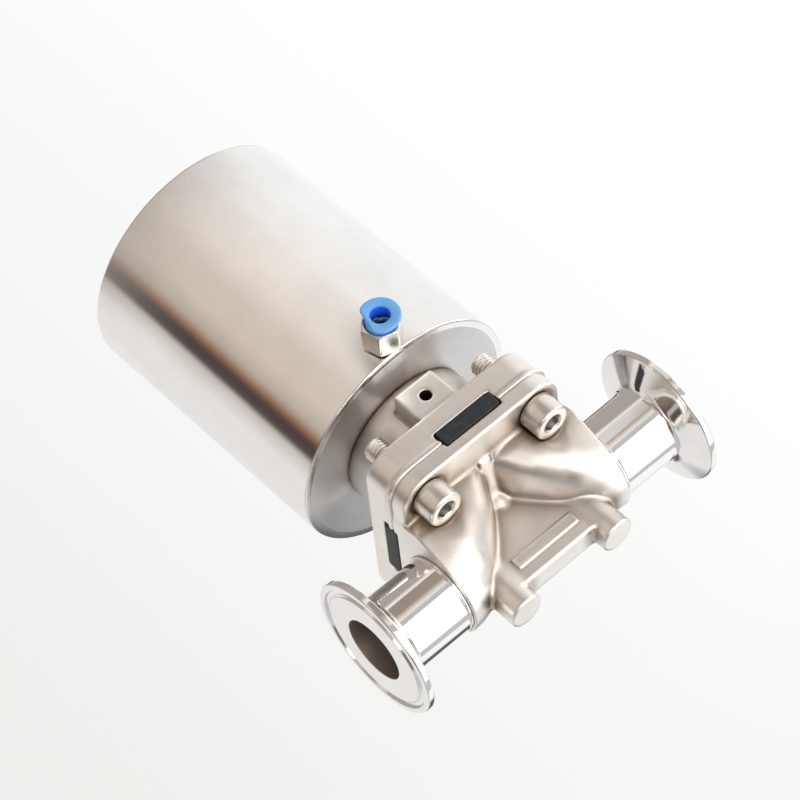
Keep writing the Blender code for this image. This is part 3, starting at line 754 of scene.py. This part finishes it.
def sample(values, block, points):
    """Distances at any points, read from the grid."""
    place = (points - block.low) / block.step
    place = np.clip(place, 0, np.array(values.shape) - 1.001)
    base = place.astype(int)
    t = place - base
    total = 0.0
    for corner in range(8):
        bits = [(corner >> i) & 1 for i in range(3)]
        weight = 1.0
        for i in range(3):
            weight = weight * (t[:, i] if bits[i] else 1 - t[:, i])
        total = total + weight * values[tuple(base[:, i] + bits[i] for i in range(3))]
    return total


def gradient(values, block, points):
    reach = block.step * 0.8
    parts = []
    for i in range(3):
        shift = np.zeros(3)
        shift[i] = reach
        parts.append(sample(values, block, points + shift) - sample(values, block, points - shift))
    g = np.stack(parts, 1)
    return g / np.maximum(np.linalg.norm(g, axis=1, keepdims=True), 1e-9)


def net(values, block):
    """The surface where the distance is zero, as points and quads, one point per cell."""
    values = np.pad(values, 1, constant_values=block.step)
    inside = values < 0
    nx, ny, nz = values.shape
    total = np.zeros((nx - 1, ny - 1, nz - 1, 3), np.float32)
    hits = np.zeros((nx - 1, ny - 1, nz - 1), np.float32)
    crossings = []
    for axis in range(3):
        a = [slice(None)] * 3
        b = [slice(None)] * 3
        a[axis] = slice(0, -1)
        b[axis] = slice(1, None)
        va, vb = values[tuple(a)], values[tuple(b)]
        cross = inside[tuple(a)] != inside[tuple(b)]
        index = np.argwhere(cross)
        share = va[cross] / (va[cross] - vb[cross])
        place = index.astype(np.float32)
        place[:, axis] += share
        crossings.append((index, inside[tuple(a)][cross]))
        others = [i for i in range(3) if i != axis]
        for da in (0, 1):
            for db in (0, 1):
                cell = index.copy()
                cell[:, others[0]] -= da
                cell[:, others[1]] -= db
                cx, cy, cz = cell.T
                np.add.at(total, (cx, cy, cz), place)
                np.add.at(hits, (cx, cy, cz), 1)
    used = hits > 0
    number = np.full(hits.shape, -1, int)
    number[used] = np.arange(int(used.sum()))
    points = total[used] / hits[used][:, None]
    points = (points - 1) * block.step + block.low
    quads = []
    for axis, (index, starts_inside) in enumerate(crossings):
        others = [(axis + 1) % 3, (axis + 2) % 3]
        ring = []
        for da, db in ((0, 0), (1, 0), (1, 1), (0, 1)):
            cell = index.copy()
            cell[:, others[0]] -= da
            cell[:, others[1]] -= db
            ring.append(number[cell[:, 0], cell[:, 1], cell[:, 2]])
        ring = np.stack(ring, 1)
        ring[starts_inside] = ring[starts_inside][:, ::-1]
        quads.append(ring)
    return points, np.concatenate(quads)[:, ::-1]


def fill_mesh(name, points, quads):
    mesh = bpy.data.meshes.new(name)
    mesh.vertices.add(len(points))
    mesh.vertices.foreach_set("co", (points * MM).astype(np.float32).ravel())
    mesh.loops.add(len(quads) * 4)
    mesh.loops.foreach_set("vertex_index", quads.astype(np.int32).ravel())
    mesh.polygons.add(len(quads))
    mesh.polygons.foreach_set("loop_start", np.arange(0, len(quads) * 4, 4, dtype=np.int32))
    mesh.update(calc_edges=True)
    mesh.validate()
    obj = bpy.data.objects.new(name, mesh)
    bpy.context.scene.collection.objects.link(obj)
    return obj


# Distances out from the surface at which closeness is read for painted shade.
REACHES = (1.0, 2.5, 4.5, 8.0, 13.0)


def cast_skin(name, values, block, neighbours=None):
    """A mesh of the zero surface, with how closed in each point is by all that is near, for painted
    shade in hollows and beside nearby parts.
    """
    points, quads = net(values, block)
    points = points.astype(float)
    for _ in range(2):
        normal = gradient(values, block, points)
        points = points - normal * sample(values, block, points)[:, None] * 0.7
    normal = gradient(values, block, points)
    around = values if neighbours is None else np.minimum(values, neighbours)
    hollow = 0.0
    high = block.low + block.step * (np.array(values.shape) - 1)
    for reach in REACHES:
        place = points + normal * reach
        beyond = np.linalg.norm(place - np.clip(place, block.low, high), axis=1)
        clear = sample(around, block, place) + beyond
        hollow = hollow + np.clip(1 - clear / reach, 0, 1)
    obj = fill_mesh(name, points, quads)
    mark_cavity(obj, (hollow / len(REACHES)).astype(np.float32))
    return obj


def screw_heads(block, radius, low, high):
    """The four screw heads, or pockets for them."""
    shape = None
    for sx in (-1, 1):
        for sy in (-1, 1):
            head = block.rod("Z", (sx * SCREW_X, sy * SCREW_Y), radius, low, high, 0.4)
            shape = head if shape is None else join(shape, head)
    return shape


def tab_spaces(block, inner_x, inner_y, bottom):
    """The four notches in the flanges' edges that the diaphragm's tabs sit in."""
    shape = None
    for sign in (-1, 1):
        near, far = sorted((sign * inner_y, sign * 60.0))
        low = (TAB_SHIFT - TAB_SPACE, near, bottom)
        space = block.box(low, (TAB_SHIFT + TAB_SPACE, far, TAB_SPACE_TOP), 0.5)
        shape = space if shape is None else join(shape, space)
        near, far = sorted((sign * inner_x, sign * 60.0))
        low = (near, -TAB_SPACE, bottom)
        shape = join(shape, block.box(low, (far, TAB_SPACE, TAB_SPACE_TOP), 0.5))
    return shape


def elbow_path(side, sections):
    return [(side * x, z, width, radius, power) for x, z, width, radius, power in sections]


def make_body(material):
    block = Block((-35.5, -37.5, -25.5), (35.5, 37.5, 24.0), 0.5)
    plate = block.plate(FLANGE_X, BODY_FLANGE_Y, FLANGE_CORNER, FLANGE_BOTTOM, FLANGE_TOP + 3, 1.0)
    outside = (
        (38.0, 0.0, 15.7, 15.7, 2.0),
        (31.5, 0.4, 15.7, 15.7, 2.0),
        (28.7, 2.8, 17.2, 15.5, 2.2),
        (25.8, 6.1, 19.0, 15.5, 2.6),
        (22.8, 9.9, 20.4, 15.8, 3.2),
        (18.5, 15.8, 22.0, 16.2, 4.2),
        (14.9, 21.5, 23.6, 16.0, 5.0),
    )
    elbows = None
    for side in (-1, 1):
        elbow = block.sweep(elbow_path(side, outside), 34)
        elbows = elbow if elbows is None else join(elbows, elbow, 0.6)
    wide = np.abs(block.y) - SHOULDER_Y + 0 * block.x + 0 * block.z
    lean = np.abs(block.y) * 0.963 + block.z * 0.27 - 23.1 + 0 * block.x
    slant = np.abs(block.y) * 0.92 - block.z * 0.392 - 15.75 + 0 * block.x
    shoulder = meet(meet(wide, lean, 0.6), slant, 1.0)
    shoulder = meet(shoulder, 20.0 - np.abs(block.x), 5.0)
    shoulder = meet(shoulder, -6.5 - block.z, 4.0)
    elbows = join(elbows, shoulder, 2.4)
    shape = join(elbows, plate, 1.8)
    web = block.box((-21, -5.0, -18.4), (21, 5.0, 12.6), 1.3)
    shape = join(shape, web, 2.2)
    rib = block.box((-2.4, -23.5, 10.4), (2.4, 23.5, 18.0), 0.8)
    slope = (11.2 - block.z + (np.abs(block.y) - 5.0) * 0.19) * 0.98 + 0 * block.x
    rib = meet(rib, slope, 0.8)
    shape = join(shape, rib, 1.0)
    star = np.sqrt(block.x**2 + (block.y + 4.7) ** 2 + (block.z - 10.4) ** 2) - 1.9
    shape = join(shape, star, 3.6)
    for side in (-1, 1):
        foot = block.rod("Z", (side * FOOT_X, 0), FOOT_R, BODY_LOW.z, 4.0, 0.5)
        shape = join(shape, foot, 1.8)
    inside = (
        (38.0, 0.0, BORE_R, BORE_R, 2.0),
        (31.5, 0.4, BORE_R, BORE_R, 2.0),
        (28.7, 2.8, 12.2, 11.4, 2.0),
        (25.8, 6.1, 13.4, 11.2, 2.1),
        (22.8, 9.9, 15.0, 11.0, 2.3),
        (18.5, 15.8, 17.0, 10.8, 2.5),
        (15.6, 20.0, 18.0, 10.5, 2.5),
    )
    for side in (-1, 1):
        shape = remove(shape, block.sweep(elbow_path(side, inside), 26))
    shape = remove(shape, block.bowl(22.3, 24.0, 19.2, 5.2), 0.8)
    shape = remove(shape, screw_heads(block, 4.4, 5, 30))
    shape = remove(shape, screw_heads(block, HEAD_R + 0.45, -8, FLANGE_BOTTOM + 0.1), 1.0)
    shape = np.maximum(shape, block.z - FLANGE_TOP)
    notches = tab_spaces(block, FLANGE_X - 1.5, BODY_FLANGE_Y - 1.5, TAB_SPACE_LOW)
    shape = remove(shape, notches, 0.5)
    shape = np.maximum(shape, np.abs(block.x) - BODY_END_X)
    label = block.box((-13.0, -5.75, -13.4), (13.0, 0.0, -9.0), 0.25)
    panel = block.box((-12.3, -7.0, -12.8), (12.3, -5.45, -9.6), 0.2)
    shape = join(shape, label)
    shape = remove(shape, panel)
    # Painted shade: the screw heads, the tubes and the bonnet's flange count as near, so the body
    # darkens beside them.
    near = join(screw_heads(block, HEAD_R, 7.5, 15.5), block.rod("X", (0, 0), 14.0, -60, -34.5))
    near = join(near, block.rod("X", (0, 0), 14.0, 34.5, 60))
    above = (BONNET_CORNER, BONNET_LOW.z, BONNET_FLANGE_TOP, 0.5)
    near = join(near, block.plate(FLANGE_X, BONNET_FLANGE_Y, *above))
    obj = cast_skin("body_casting", shape.astype(np.float32), block, near.astype(np.float32))
    dress(obj, material, "valve", ["valve_body"], sharp=None)
    return obj


def make_bonnet(material):
    top = BONNET_HIGH.z
    block = Block((-35.5, -37.5, BONNET_LOW.z - 1.0), (35.5, 37.5, top + 1.0), 0.5)
    slab = (BONNET_CORNER, BONNET_LOW.z, BONNET_FLANGE_TOP, 1.0)
    shape = block.plate(FLANGE_X, BONNET_FLANGE_Y, *slab)
    lip = block.plate(FLANGE_X + 0.5, BONNET_FLANGE_Y + 0.5, BONNET_CORNER, BONNET_LOW.z, 23.6, 0.7)
    shape = join(shape, lip, 1.6)
    neck = block.rod("Z", (0, 0), NECK_R, 28.0, NECK_TOP, 0.3)
    shape = join(shape, neck, 2.4)
    boss = block.box((-8.0, -32.8, 31.0), (8.0, -10.0, 48.0), 0.8)
    shape = join(shape, boss, 1.6)
    shape = join(shape, block.rod("Z", (0, 0), 14.0, 50.0, top, 0.4))
    recess = block.plate(31.7, 33.9, 9.8, 10.0, 24.6, 0.3)
    shape = remove(shape, recess)
    shape = remove(shape, block.bowl(25.0, 23.3, 18.7, 5.0), 0.6)
    shape = remove(shape, block.rod("Z", (0, 0), 18.3, 20.0, 44.6, 1.0))
    shape = remove(shape, block.rod("Z", (0, 0), 9.4, 40.0, 80.0))
    shape = remove(shape, block.rod("Y", (0, 41.4), 2.0, -50.0, -10.0), 0.5)
    shape = remove(shape, screw_heads(block, 4.15, 20, 60), 0.3)
    shape = remove(shape, tab_spaces(block, 27.6, 29.6, 10.0), 0.6)
    # Painted shade: the screw heads, the actuator and the body's flange count as near, so the
    # bonnet darkens beside them.
    near = join(screw_heads(block, 4.0, 10, 42), block.rod("Z", (0, 0), 43.5, 54.1, 90))
    below = (FLANGE_CORNER, FLANGE_BOTTOM, FLANGE_TOP, 0.5)
    near = join(near, block.plate(FLANGE_X, BODY_FLANGE_Y, *below))
    obj = cast_skin("bonnet_casting", shape.astype(np.float32), block, near.astype(np.float32))
    dress(obj, material, "valve", ["bonnet"], sharp=None)
    return obj


# ---------------------------------------------------------------- turned pieces


def make_ferrule(name, node, side, material):
    end = FERRULE_HIGH.x
    radius = FERRULE_HIGH.y
    profile = [
        (BORE_R, end, 0.35),
        (20.4, end, 0.25),
        (20.9, end - 1.35, 0.6),
        (22.6, end - 1.35, 0.6),
        (23.1, end, 0.25),
        (radius, end, 0.7),
        (radius, end - 2.5, 0.5),
        (15.6, end - 6.1, 0.9),
        (14.0, end - 7.1, 0.9),
        (14.0, BODY_END_X + 1.3, 0.5),
        (14.6, BODY_END_X + 0.9, 0.5),
        (14.5, BODY_END_X + 0.05, 0.4),
        (BORE_R, BODY_END_X + 0.05, 0.2),
    ]
    placed = [(r, side * a, rounding) for r, a, rounding in profile]
    obj = lathe(name, placed, "X", 160)
    dress(obj, material, "valve", [node], sharp=28)


def make_shell(side_material, end_material):
    r = SHELL_HIGH.x
    bottom = SHELL_LOW.z
    top = SHELL_HIGH.z
    profile = [
        (41.0, bottom + 0.02, 0),
        (r, bottom + 0.02, 0.7),
        (r, top, 0.9),
        (6.3, top, 0.3),
        (6.3, top - 6.0, 0),
        (41.1, top - 6.0, 0.8),
    ]
    shell = lathe("actuator_tube", profile, "Z", 256)
    dress(shell, side_material, "valve", ["actuator_shell"], sharp=30)
    cover = lathe(
        "actuator_cover",
        [
            (14.3, bottom, 0),
            (40.97, bottom + 0.02, 0.1),
            (40.97, BASE_HIGH.z, 0.3),
            (14.3, BASE_HIGH.z, 0.3),
        ],
        "Z",
        256,
    )
    dress(cover, end_material, "valve", ["actuator_base"], sharp=30)


SOCKET_ACROSS = 6.0
SOCKET_RINGS = 5
SHANK_R = 4.0
THREAD_LOW = 33.0
THREAD_DEPTH = 0.5
THREAD_PITCH = 1.25


def thread_radius(angles, z, outer, depth, pitch):
    turn = z / pitch * 2 * math.pi - angles
    return outer - depth * (0.5 - 0.5 * np.cos(turn))


def make_screw(name, node, material):
    low, high = node_box(node)
    cx = (low.x + high.x) / 2
    cy = (low.y + high.y) / 2
    centre = (cx, cy, 0)
    steps = 96
    angles = np.linspace(0, 2 * math.pi, steps, endpoint=False)
    end = low.z
    seat = FLANGE_BOTTOM - 0.02
    turn = 0.35 + 0.9 * (cx > 0)
    socket = hexagon(angles, SOCKET_ACROSS, turn)
    rings = []
    for radius, z in ((0.05, end + 4.6), (0.6, end + 4.4)):
        rings.append(place_ring("Z", centre, radius, z, angles))
    for scale, z in ((0.97, end + 4.0), (1.0, end + 3.8), (1.0, end + 0.75)):
        rings.append(place_ring("Z", centre, socket * scale, z, angles))
    rings.append(place_ring("Z", centre, np.maximum(socket, 3.25), end + 0.42, angles))
    rings.append(place_ring("Z", centre, 3.75, end + 0.05, angles))
    edge = [
        (3.95, end, 0),
        (HEAD_R - 0.05, end, 1.0),
        (HEAD_R, seat - 0.08, 0.2),
        (HEAD_R - 0.12, seat, 0),
    ]
    for radius, z in soften(edge):
        rings.append(place_ring("Z", centre, radius, z, angles))
    rings.append(place_ring("Z", centre, SHANK_R, seat, angles))
    rings.append(place_ring("Z", centre, SHANK_R, THREAD_LOW - 0.4, angles))
    for z in np.arange(THREAD_LOW, high.z - 0.05, 0.1):
        outer = min(SHANK_R, 3.1 + (high.z - z) * 1.1)
        fade = min(1.0, (z - 32.9) / 0.6)
        radius = thread_radius(angles, z, outer, THREAD_DEPTH * fade, THREAD_PITCH)
        rings.append(place_ring("Z", centre, radius, z, angles))
    rings.append(place_ring("Z", centre, 3.0, high.z, angles))
    rings.append(place_ring("Z", centre, 0.05, high.z, angles))
    obj = stack(name, rings)
    # Painted shade: the socket's rings are marked fully closed in, so the inside of the socket is
    # darkened.
    depth = np.zeros(len(obj.data.vertices), np.float32)
    depth[: SOCKET_RINGS * steps] = 1.0
    mark_cavity(obj, depth)
    dress(obj, material, "valve", [node], sharp=50)


def make_rubber_rim(material):
    """The clamped rim of the diaphragm with a tab on each side."""
    block = Block((-35.0, -37.5, 19.0), (35.0, 37.5, 27.5), 0.4)
    shape = block.plate(31.4, 33.6, 9.5, FLANGE_TOP + 0.3, 24.3, 0.4)
    top = RIM_HIGH.z
    bottom = RIM_LOW.z
    slant_x = (np.abs(block.x - TAB_SHIFT) - TAB_HALF) * 0.6 + 0 * block.y
    slant_y = (np.abs(block.y) - TAB_HALF) * 0.6 + 0 * block.x
    level = np.abs(block.z - (top + bottom) / 2) - (top - bottom) / 2
    for sign in (-1, 1):
        root = BODY_FLANGE_Y - 1.2
        a, b = sorted((sign * 30.0, sign * (root + 0.8)))
        inner = TAB_HALF - 0.6
        low = (TAB_SHIFT - inner, a, FLANGE_TOP + 0.35)
        shape = join(shape, block.box(low, (TAB_SHIFT + inner, b, top), 0.4))
        a, b = sorted((sign * root, sign * (RIM_HIGH.y - 0.02)))
        bar = block.box((TAB_SHIFT - TAB_HALF, a, bottom), (TAB_SHIFT + TAB_HALF, b, top), 0.5)
        shape = join(shape, meet(bar, (slant_x + level + 0.6) * 0.9, 0.3))
        root = FLANGE_X - 1.2
        a, b = sorted((sign * 28.0, sign * (root + 0.8)))
        low = (a, -inner, FLANGE_TOP + 0.35)
        shape = join(shape, block.box(low, (b, inner, top), 0.4))
        a, b = sorted((sign * root, sign * (RIM_HIGH.x - 0.02)))
        bar = block.box((a, -TAB_HALF, bottom), (b, TAB_HALF, top), 0.5)
        shape = join(shape, meet(bar, (slant_y + level + 0.6) * 0.9, 0.3))
    opening = np.sqrt((block.x / 24.0) ** 2 + (block.y / 19.2) ** 2)
    shape = remove(shape, (opening - 1) * 19.2 + 0 * block.z)
    shape = remove(shape, screw_heads(block, 4.6, 10, 40))
    obj = cast_skin("diaphragm_edge", shape.astype(np.float32), block)
    dress(obj, material, "valve", ["diaphragm_rim"], sharp=None)


# ---------------------------------------------------------------- air fitting


HEX_ACROSS = 12.2
HEX_TURN = math.radians(42.5)
HEX_FACE_Y = -53.9
HEX_BACK_Y = -44.3
COLLET_CUT = math.radians(165.0)
COLLET_CUT_REACH = 4.8
COLLET_FLANGE_R = 6.9


def make_fitting(material):
    steps = 144
    angles = np.linspace(0, 2 * math.pi, steps, endpoint=False)
    centre = (0, 0, PORT_Z)
    hexa = hexagon(angles, HEX_ACROSS, HEX_TURN - math.pi / 6)
    top = HEX_FACE_Y
    bottom = HEX_BACK_Y
    rings = [place_ring("Y", centre, 2.3, -41.4, angles)]
    rings.append(place_ring("Y", centre, 3.55, -41.4, angles))
    rings.append(place_ring("Y", centre, 3.55, bottom, angles))
    for lift, cap in ((0.0, 6.55), (0.18, 6.85), (0.4, 7.3)):
        rings.append(place_ring("Y", centre, np.minimum(hexa, cap), bottom - lift, angles))
    for drop, cap in ((0.75, 7.3), (0.5, 6.95), (0.25, 6.5), (0.1, 6.2)):
        rings.append(place_ring("Y", centre, np.minimum(hexa, cap), top + drop, angles))
    for radius, y in ((6.0, top), (5.75, top), (5.5, top + 0.2), (5.4, top + 0.6), (5.4, -47.2)):
        rings.append(place_ring("Y", centre, radius, y, angles))
    rings.append(place_ring("Y", centre, 2.3, -47.2, angles))
    obj = stack("push_in_fitting", rings, close_ends=False, loop=True)
    dress(obj, material, "valve", ["fitting_body"], sharp=25)


def make_collet(material):
    steps = 144
    angles = np.linspace(0, 2 * math.pi, steps, endpoint=False)
    centre = (0, 0, PORT_Z)
    face = COLLET_LOW.y
    reach = COLLET_CUT_REACH
    full = COLLET_FLANGE_R
    facing_cut = np.cos(angles - COLLET_CUT)
    outline = np.where(facing_cut > reach / full, reach / np.maximum(facing_cut, 0.1), full)
    kernel = np.ones(7) / 7
    wrapped = np.concatenate([outline[-3:], outline, outline[:3]])
    outline = np.convolve(wrapped, kernel, "valid")
    rings = []
    for radius, y in ((3.3, face + 5.0), (3.3, face + 0.9), (3.4, face + 0.45), (3.75, face + 0.2)):
        rings.append(place_ring("Y", centre, radius, y, angles))
    for inset, y in ((1.5, 0.06), (0.7, 0.0), (0.32, 0.03), (0.1, 0.16), (0.0, 0.42)):
        rings.append(place_ring("Y", centre, outline - inset, face + y, angles))
    for inset, y in ((0.0, 0.95), (0.12, 1.18), (0.4, 1.3)):
        rings.append(place_ring("Y", centre, outline - inset, face + y, angles))
    for radius, y in ((4.75, 1.32), (4.7, 1.7), (4.95, 2.4), (4.95, 5.0)):
        rings.append(place_ring("Y", centre, radius, face + y, angles))
    obj = stack("collet_ring", rings, close_ends=False, loop=True)
    # Painted shade: the rings inside the bore are marked closed in, so the hole turns a deeper
    # blue.
    depth = np.zeros(len(obj.data.vertices), np.float32)
    for row, level in enumerate((1.0, 0.75, 0.3)):
        depth[row * steps : (row + 1) * steps] = level
    mark_cavity(obj, depth)
    dress(obj, material, "collet", ["release_collet"], sharp=40)


def make_grip(material):
    """The steel grip ring, with teeth that lean in towards the tube."""
    steps = 144
    angles = np.linspace(0, 2 * math.pi, steps, endpoint=False)
    centre = (0, 0, PORT_Z)
    tooth = 0.5 + 0.5 * np.sign(np.sin(angles * 9))
    inner = 2.65 + 0.9 * (1 - tooth)
    rings = [
        place_ring("Y", centre, 5.1, -49.4, angles),
        place_ring("Y", centre, 5.1, -49.9, angles),
        place_ring("Y", centre, 4.5, -49.9, angles),
        place_ring("Y", centre, inner, -49.55, angles),
        place_ring("Y", centre, inner, -49.4, angles),
        place_ring("Y", centre, 4.5, -49.5, angles),
    ]
    obj = stack("grip_teeth", rings, close_ends=False, loop=True)
    dress(obj, material, "valve", ["grip_ring"], sharp=30)


# ---------------------------------------------------------------- springs and the diaphragm's centre


SPRING_ROOM = 0.05
FLAT_TURN = 0.6


def make_spring(name, node, wire, coils, material):
    """A closing spring coiled between its node's ends, with a flat turn at each end."""
    low, high = node_box(node)
    mean = high.x - wire
    rows = coils * 40
    travel = high.z - low.z - 2 * wire - 2 * SPRING_ROOM
    around = np.linspace(0, 2 * math.pi, 16, endpoint=False)
    rings = []
    for row in range(rows + 1):
        share = row / rows
        eased = min(max((share * coils - FLAT_TURN) / (coils - 2 * FLAT_TURN), 0.0), 1.0)
        angle = 2 * math.pi * share * coils
        reach = mean - SPRING_ROOM + (wire - SPRING_ROOM) * np.cos(around)
        height = low.z + wire + SPRING_ROOM + travel * eased
        height = height + (wire - SPRING_ROOM) * np.sin(around)
        rings.append(np.stack((reach * math.cos(angle), reach * math.sin(angle), height), 1))
    obj = stack(name, rings)
    dress(obj, material, None, [node], sharp=50)
    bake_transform(obj)


def make_membrane(material):
    """The centre of the diaphragm: a copy of the CAD membrane's mesh, on the valve."""
    source = frame["nodes"]["diaphragm_membrane"]
    obj = bpy.data.objects.new("diaphragm_centre", source.data.copy())
    bpy.context.scene.collection.objects.link(obj)
    obj.matrix_world = source.matrix_world.copy()
    dress(obj, material, "valve", ["diaphragm_membrane"], sharp=40)
    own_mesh(obj)


# ---------------------------------------------------------------- build


def paint_node(name, material):
    obj = frame["nodes"][name]
    obj.data.materials.clear()
    obj.data.materials.append(material)


def main():
    bpy.context.scene.view_settings.view_transform = "Standard"
    make_camera()
    make_set()
    cast = cast_material()
    polished = polished_material()
    satin = satin_material("satin_steel", (0.89, 0.88, 0.87), 0.115, 0.15, 0.4, False, 0.08, 1800.0)
    turned = satin_material("turned_steel", (0.74, 0.73, 0.72), 0.28, 0.34, 0.93, True, 0.03, 650.0)
    screws = metal_material("screw_steel", (0.88, 0.85, 0.81), 0.26, 0.32, 500.0, 0.0)
    nickel = metal_material("nickel", (0.94, 0.91, 0.87), 0.15, 0.22, 900.0, 0.01)
    spring = metal_material("spring_steel", (0.50, 0.50, 0.51), 0.25, 0.4)
    alloy = metal_material("aluminium", (0.80, 0.81, 0.82), 0.25, 0.35)
    rubber = rubber_material()
    blue = plastic_material("blue_plastic", (0.18, 0.49, 0.99))
    bearing = plastic_material("bearing", (0.30, 0.26, 0.20), 0.45, 0.6)

    make_body(cast)
    make_bonnet(cast)
    make_ferrule("inlet_clamp_end", "inlet_ferrule", -1, polished)
    make_ferrule("outlet_clamp_end", "outlet_ferrule", 1, polished)
    make_shell(satin, turned)
    make_rubber_rim(rubber)
    for index in range(1, 5):
        make_screw("socket_screw_" + str(index), "body_screw_" + str(index), screws)
    make_fitting(nickel)
    make_collet(blue)
    make_grip(nickel)
    make_spring("closing_spring_outer", "outer_spring", 2.3, 6, spring)
    make_spring("closing_spring_inner", "inner_spring", 1.8, 7, spring)
    make_membrane(rubber)

    paints = {
        "cast_steel": cast,
        "polished_steel": polished,
        "satin_steel": satin,
        "screw_steel": screws,
        "nickel": nickel,
        "rubber": rubber,
        "bearing": bearing,
        "blue_plastic": blue,
        "spring_steel": spring,
        "aluminium": alloy,
    }
    for part in frame["record"]["subparts"]:
        paint_node(part["node"], paints[part["material_slot"]])


main()
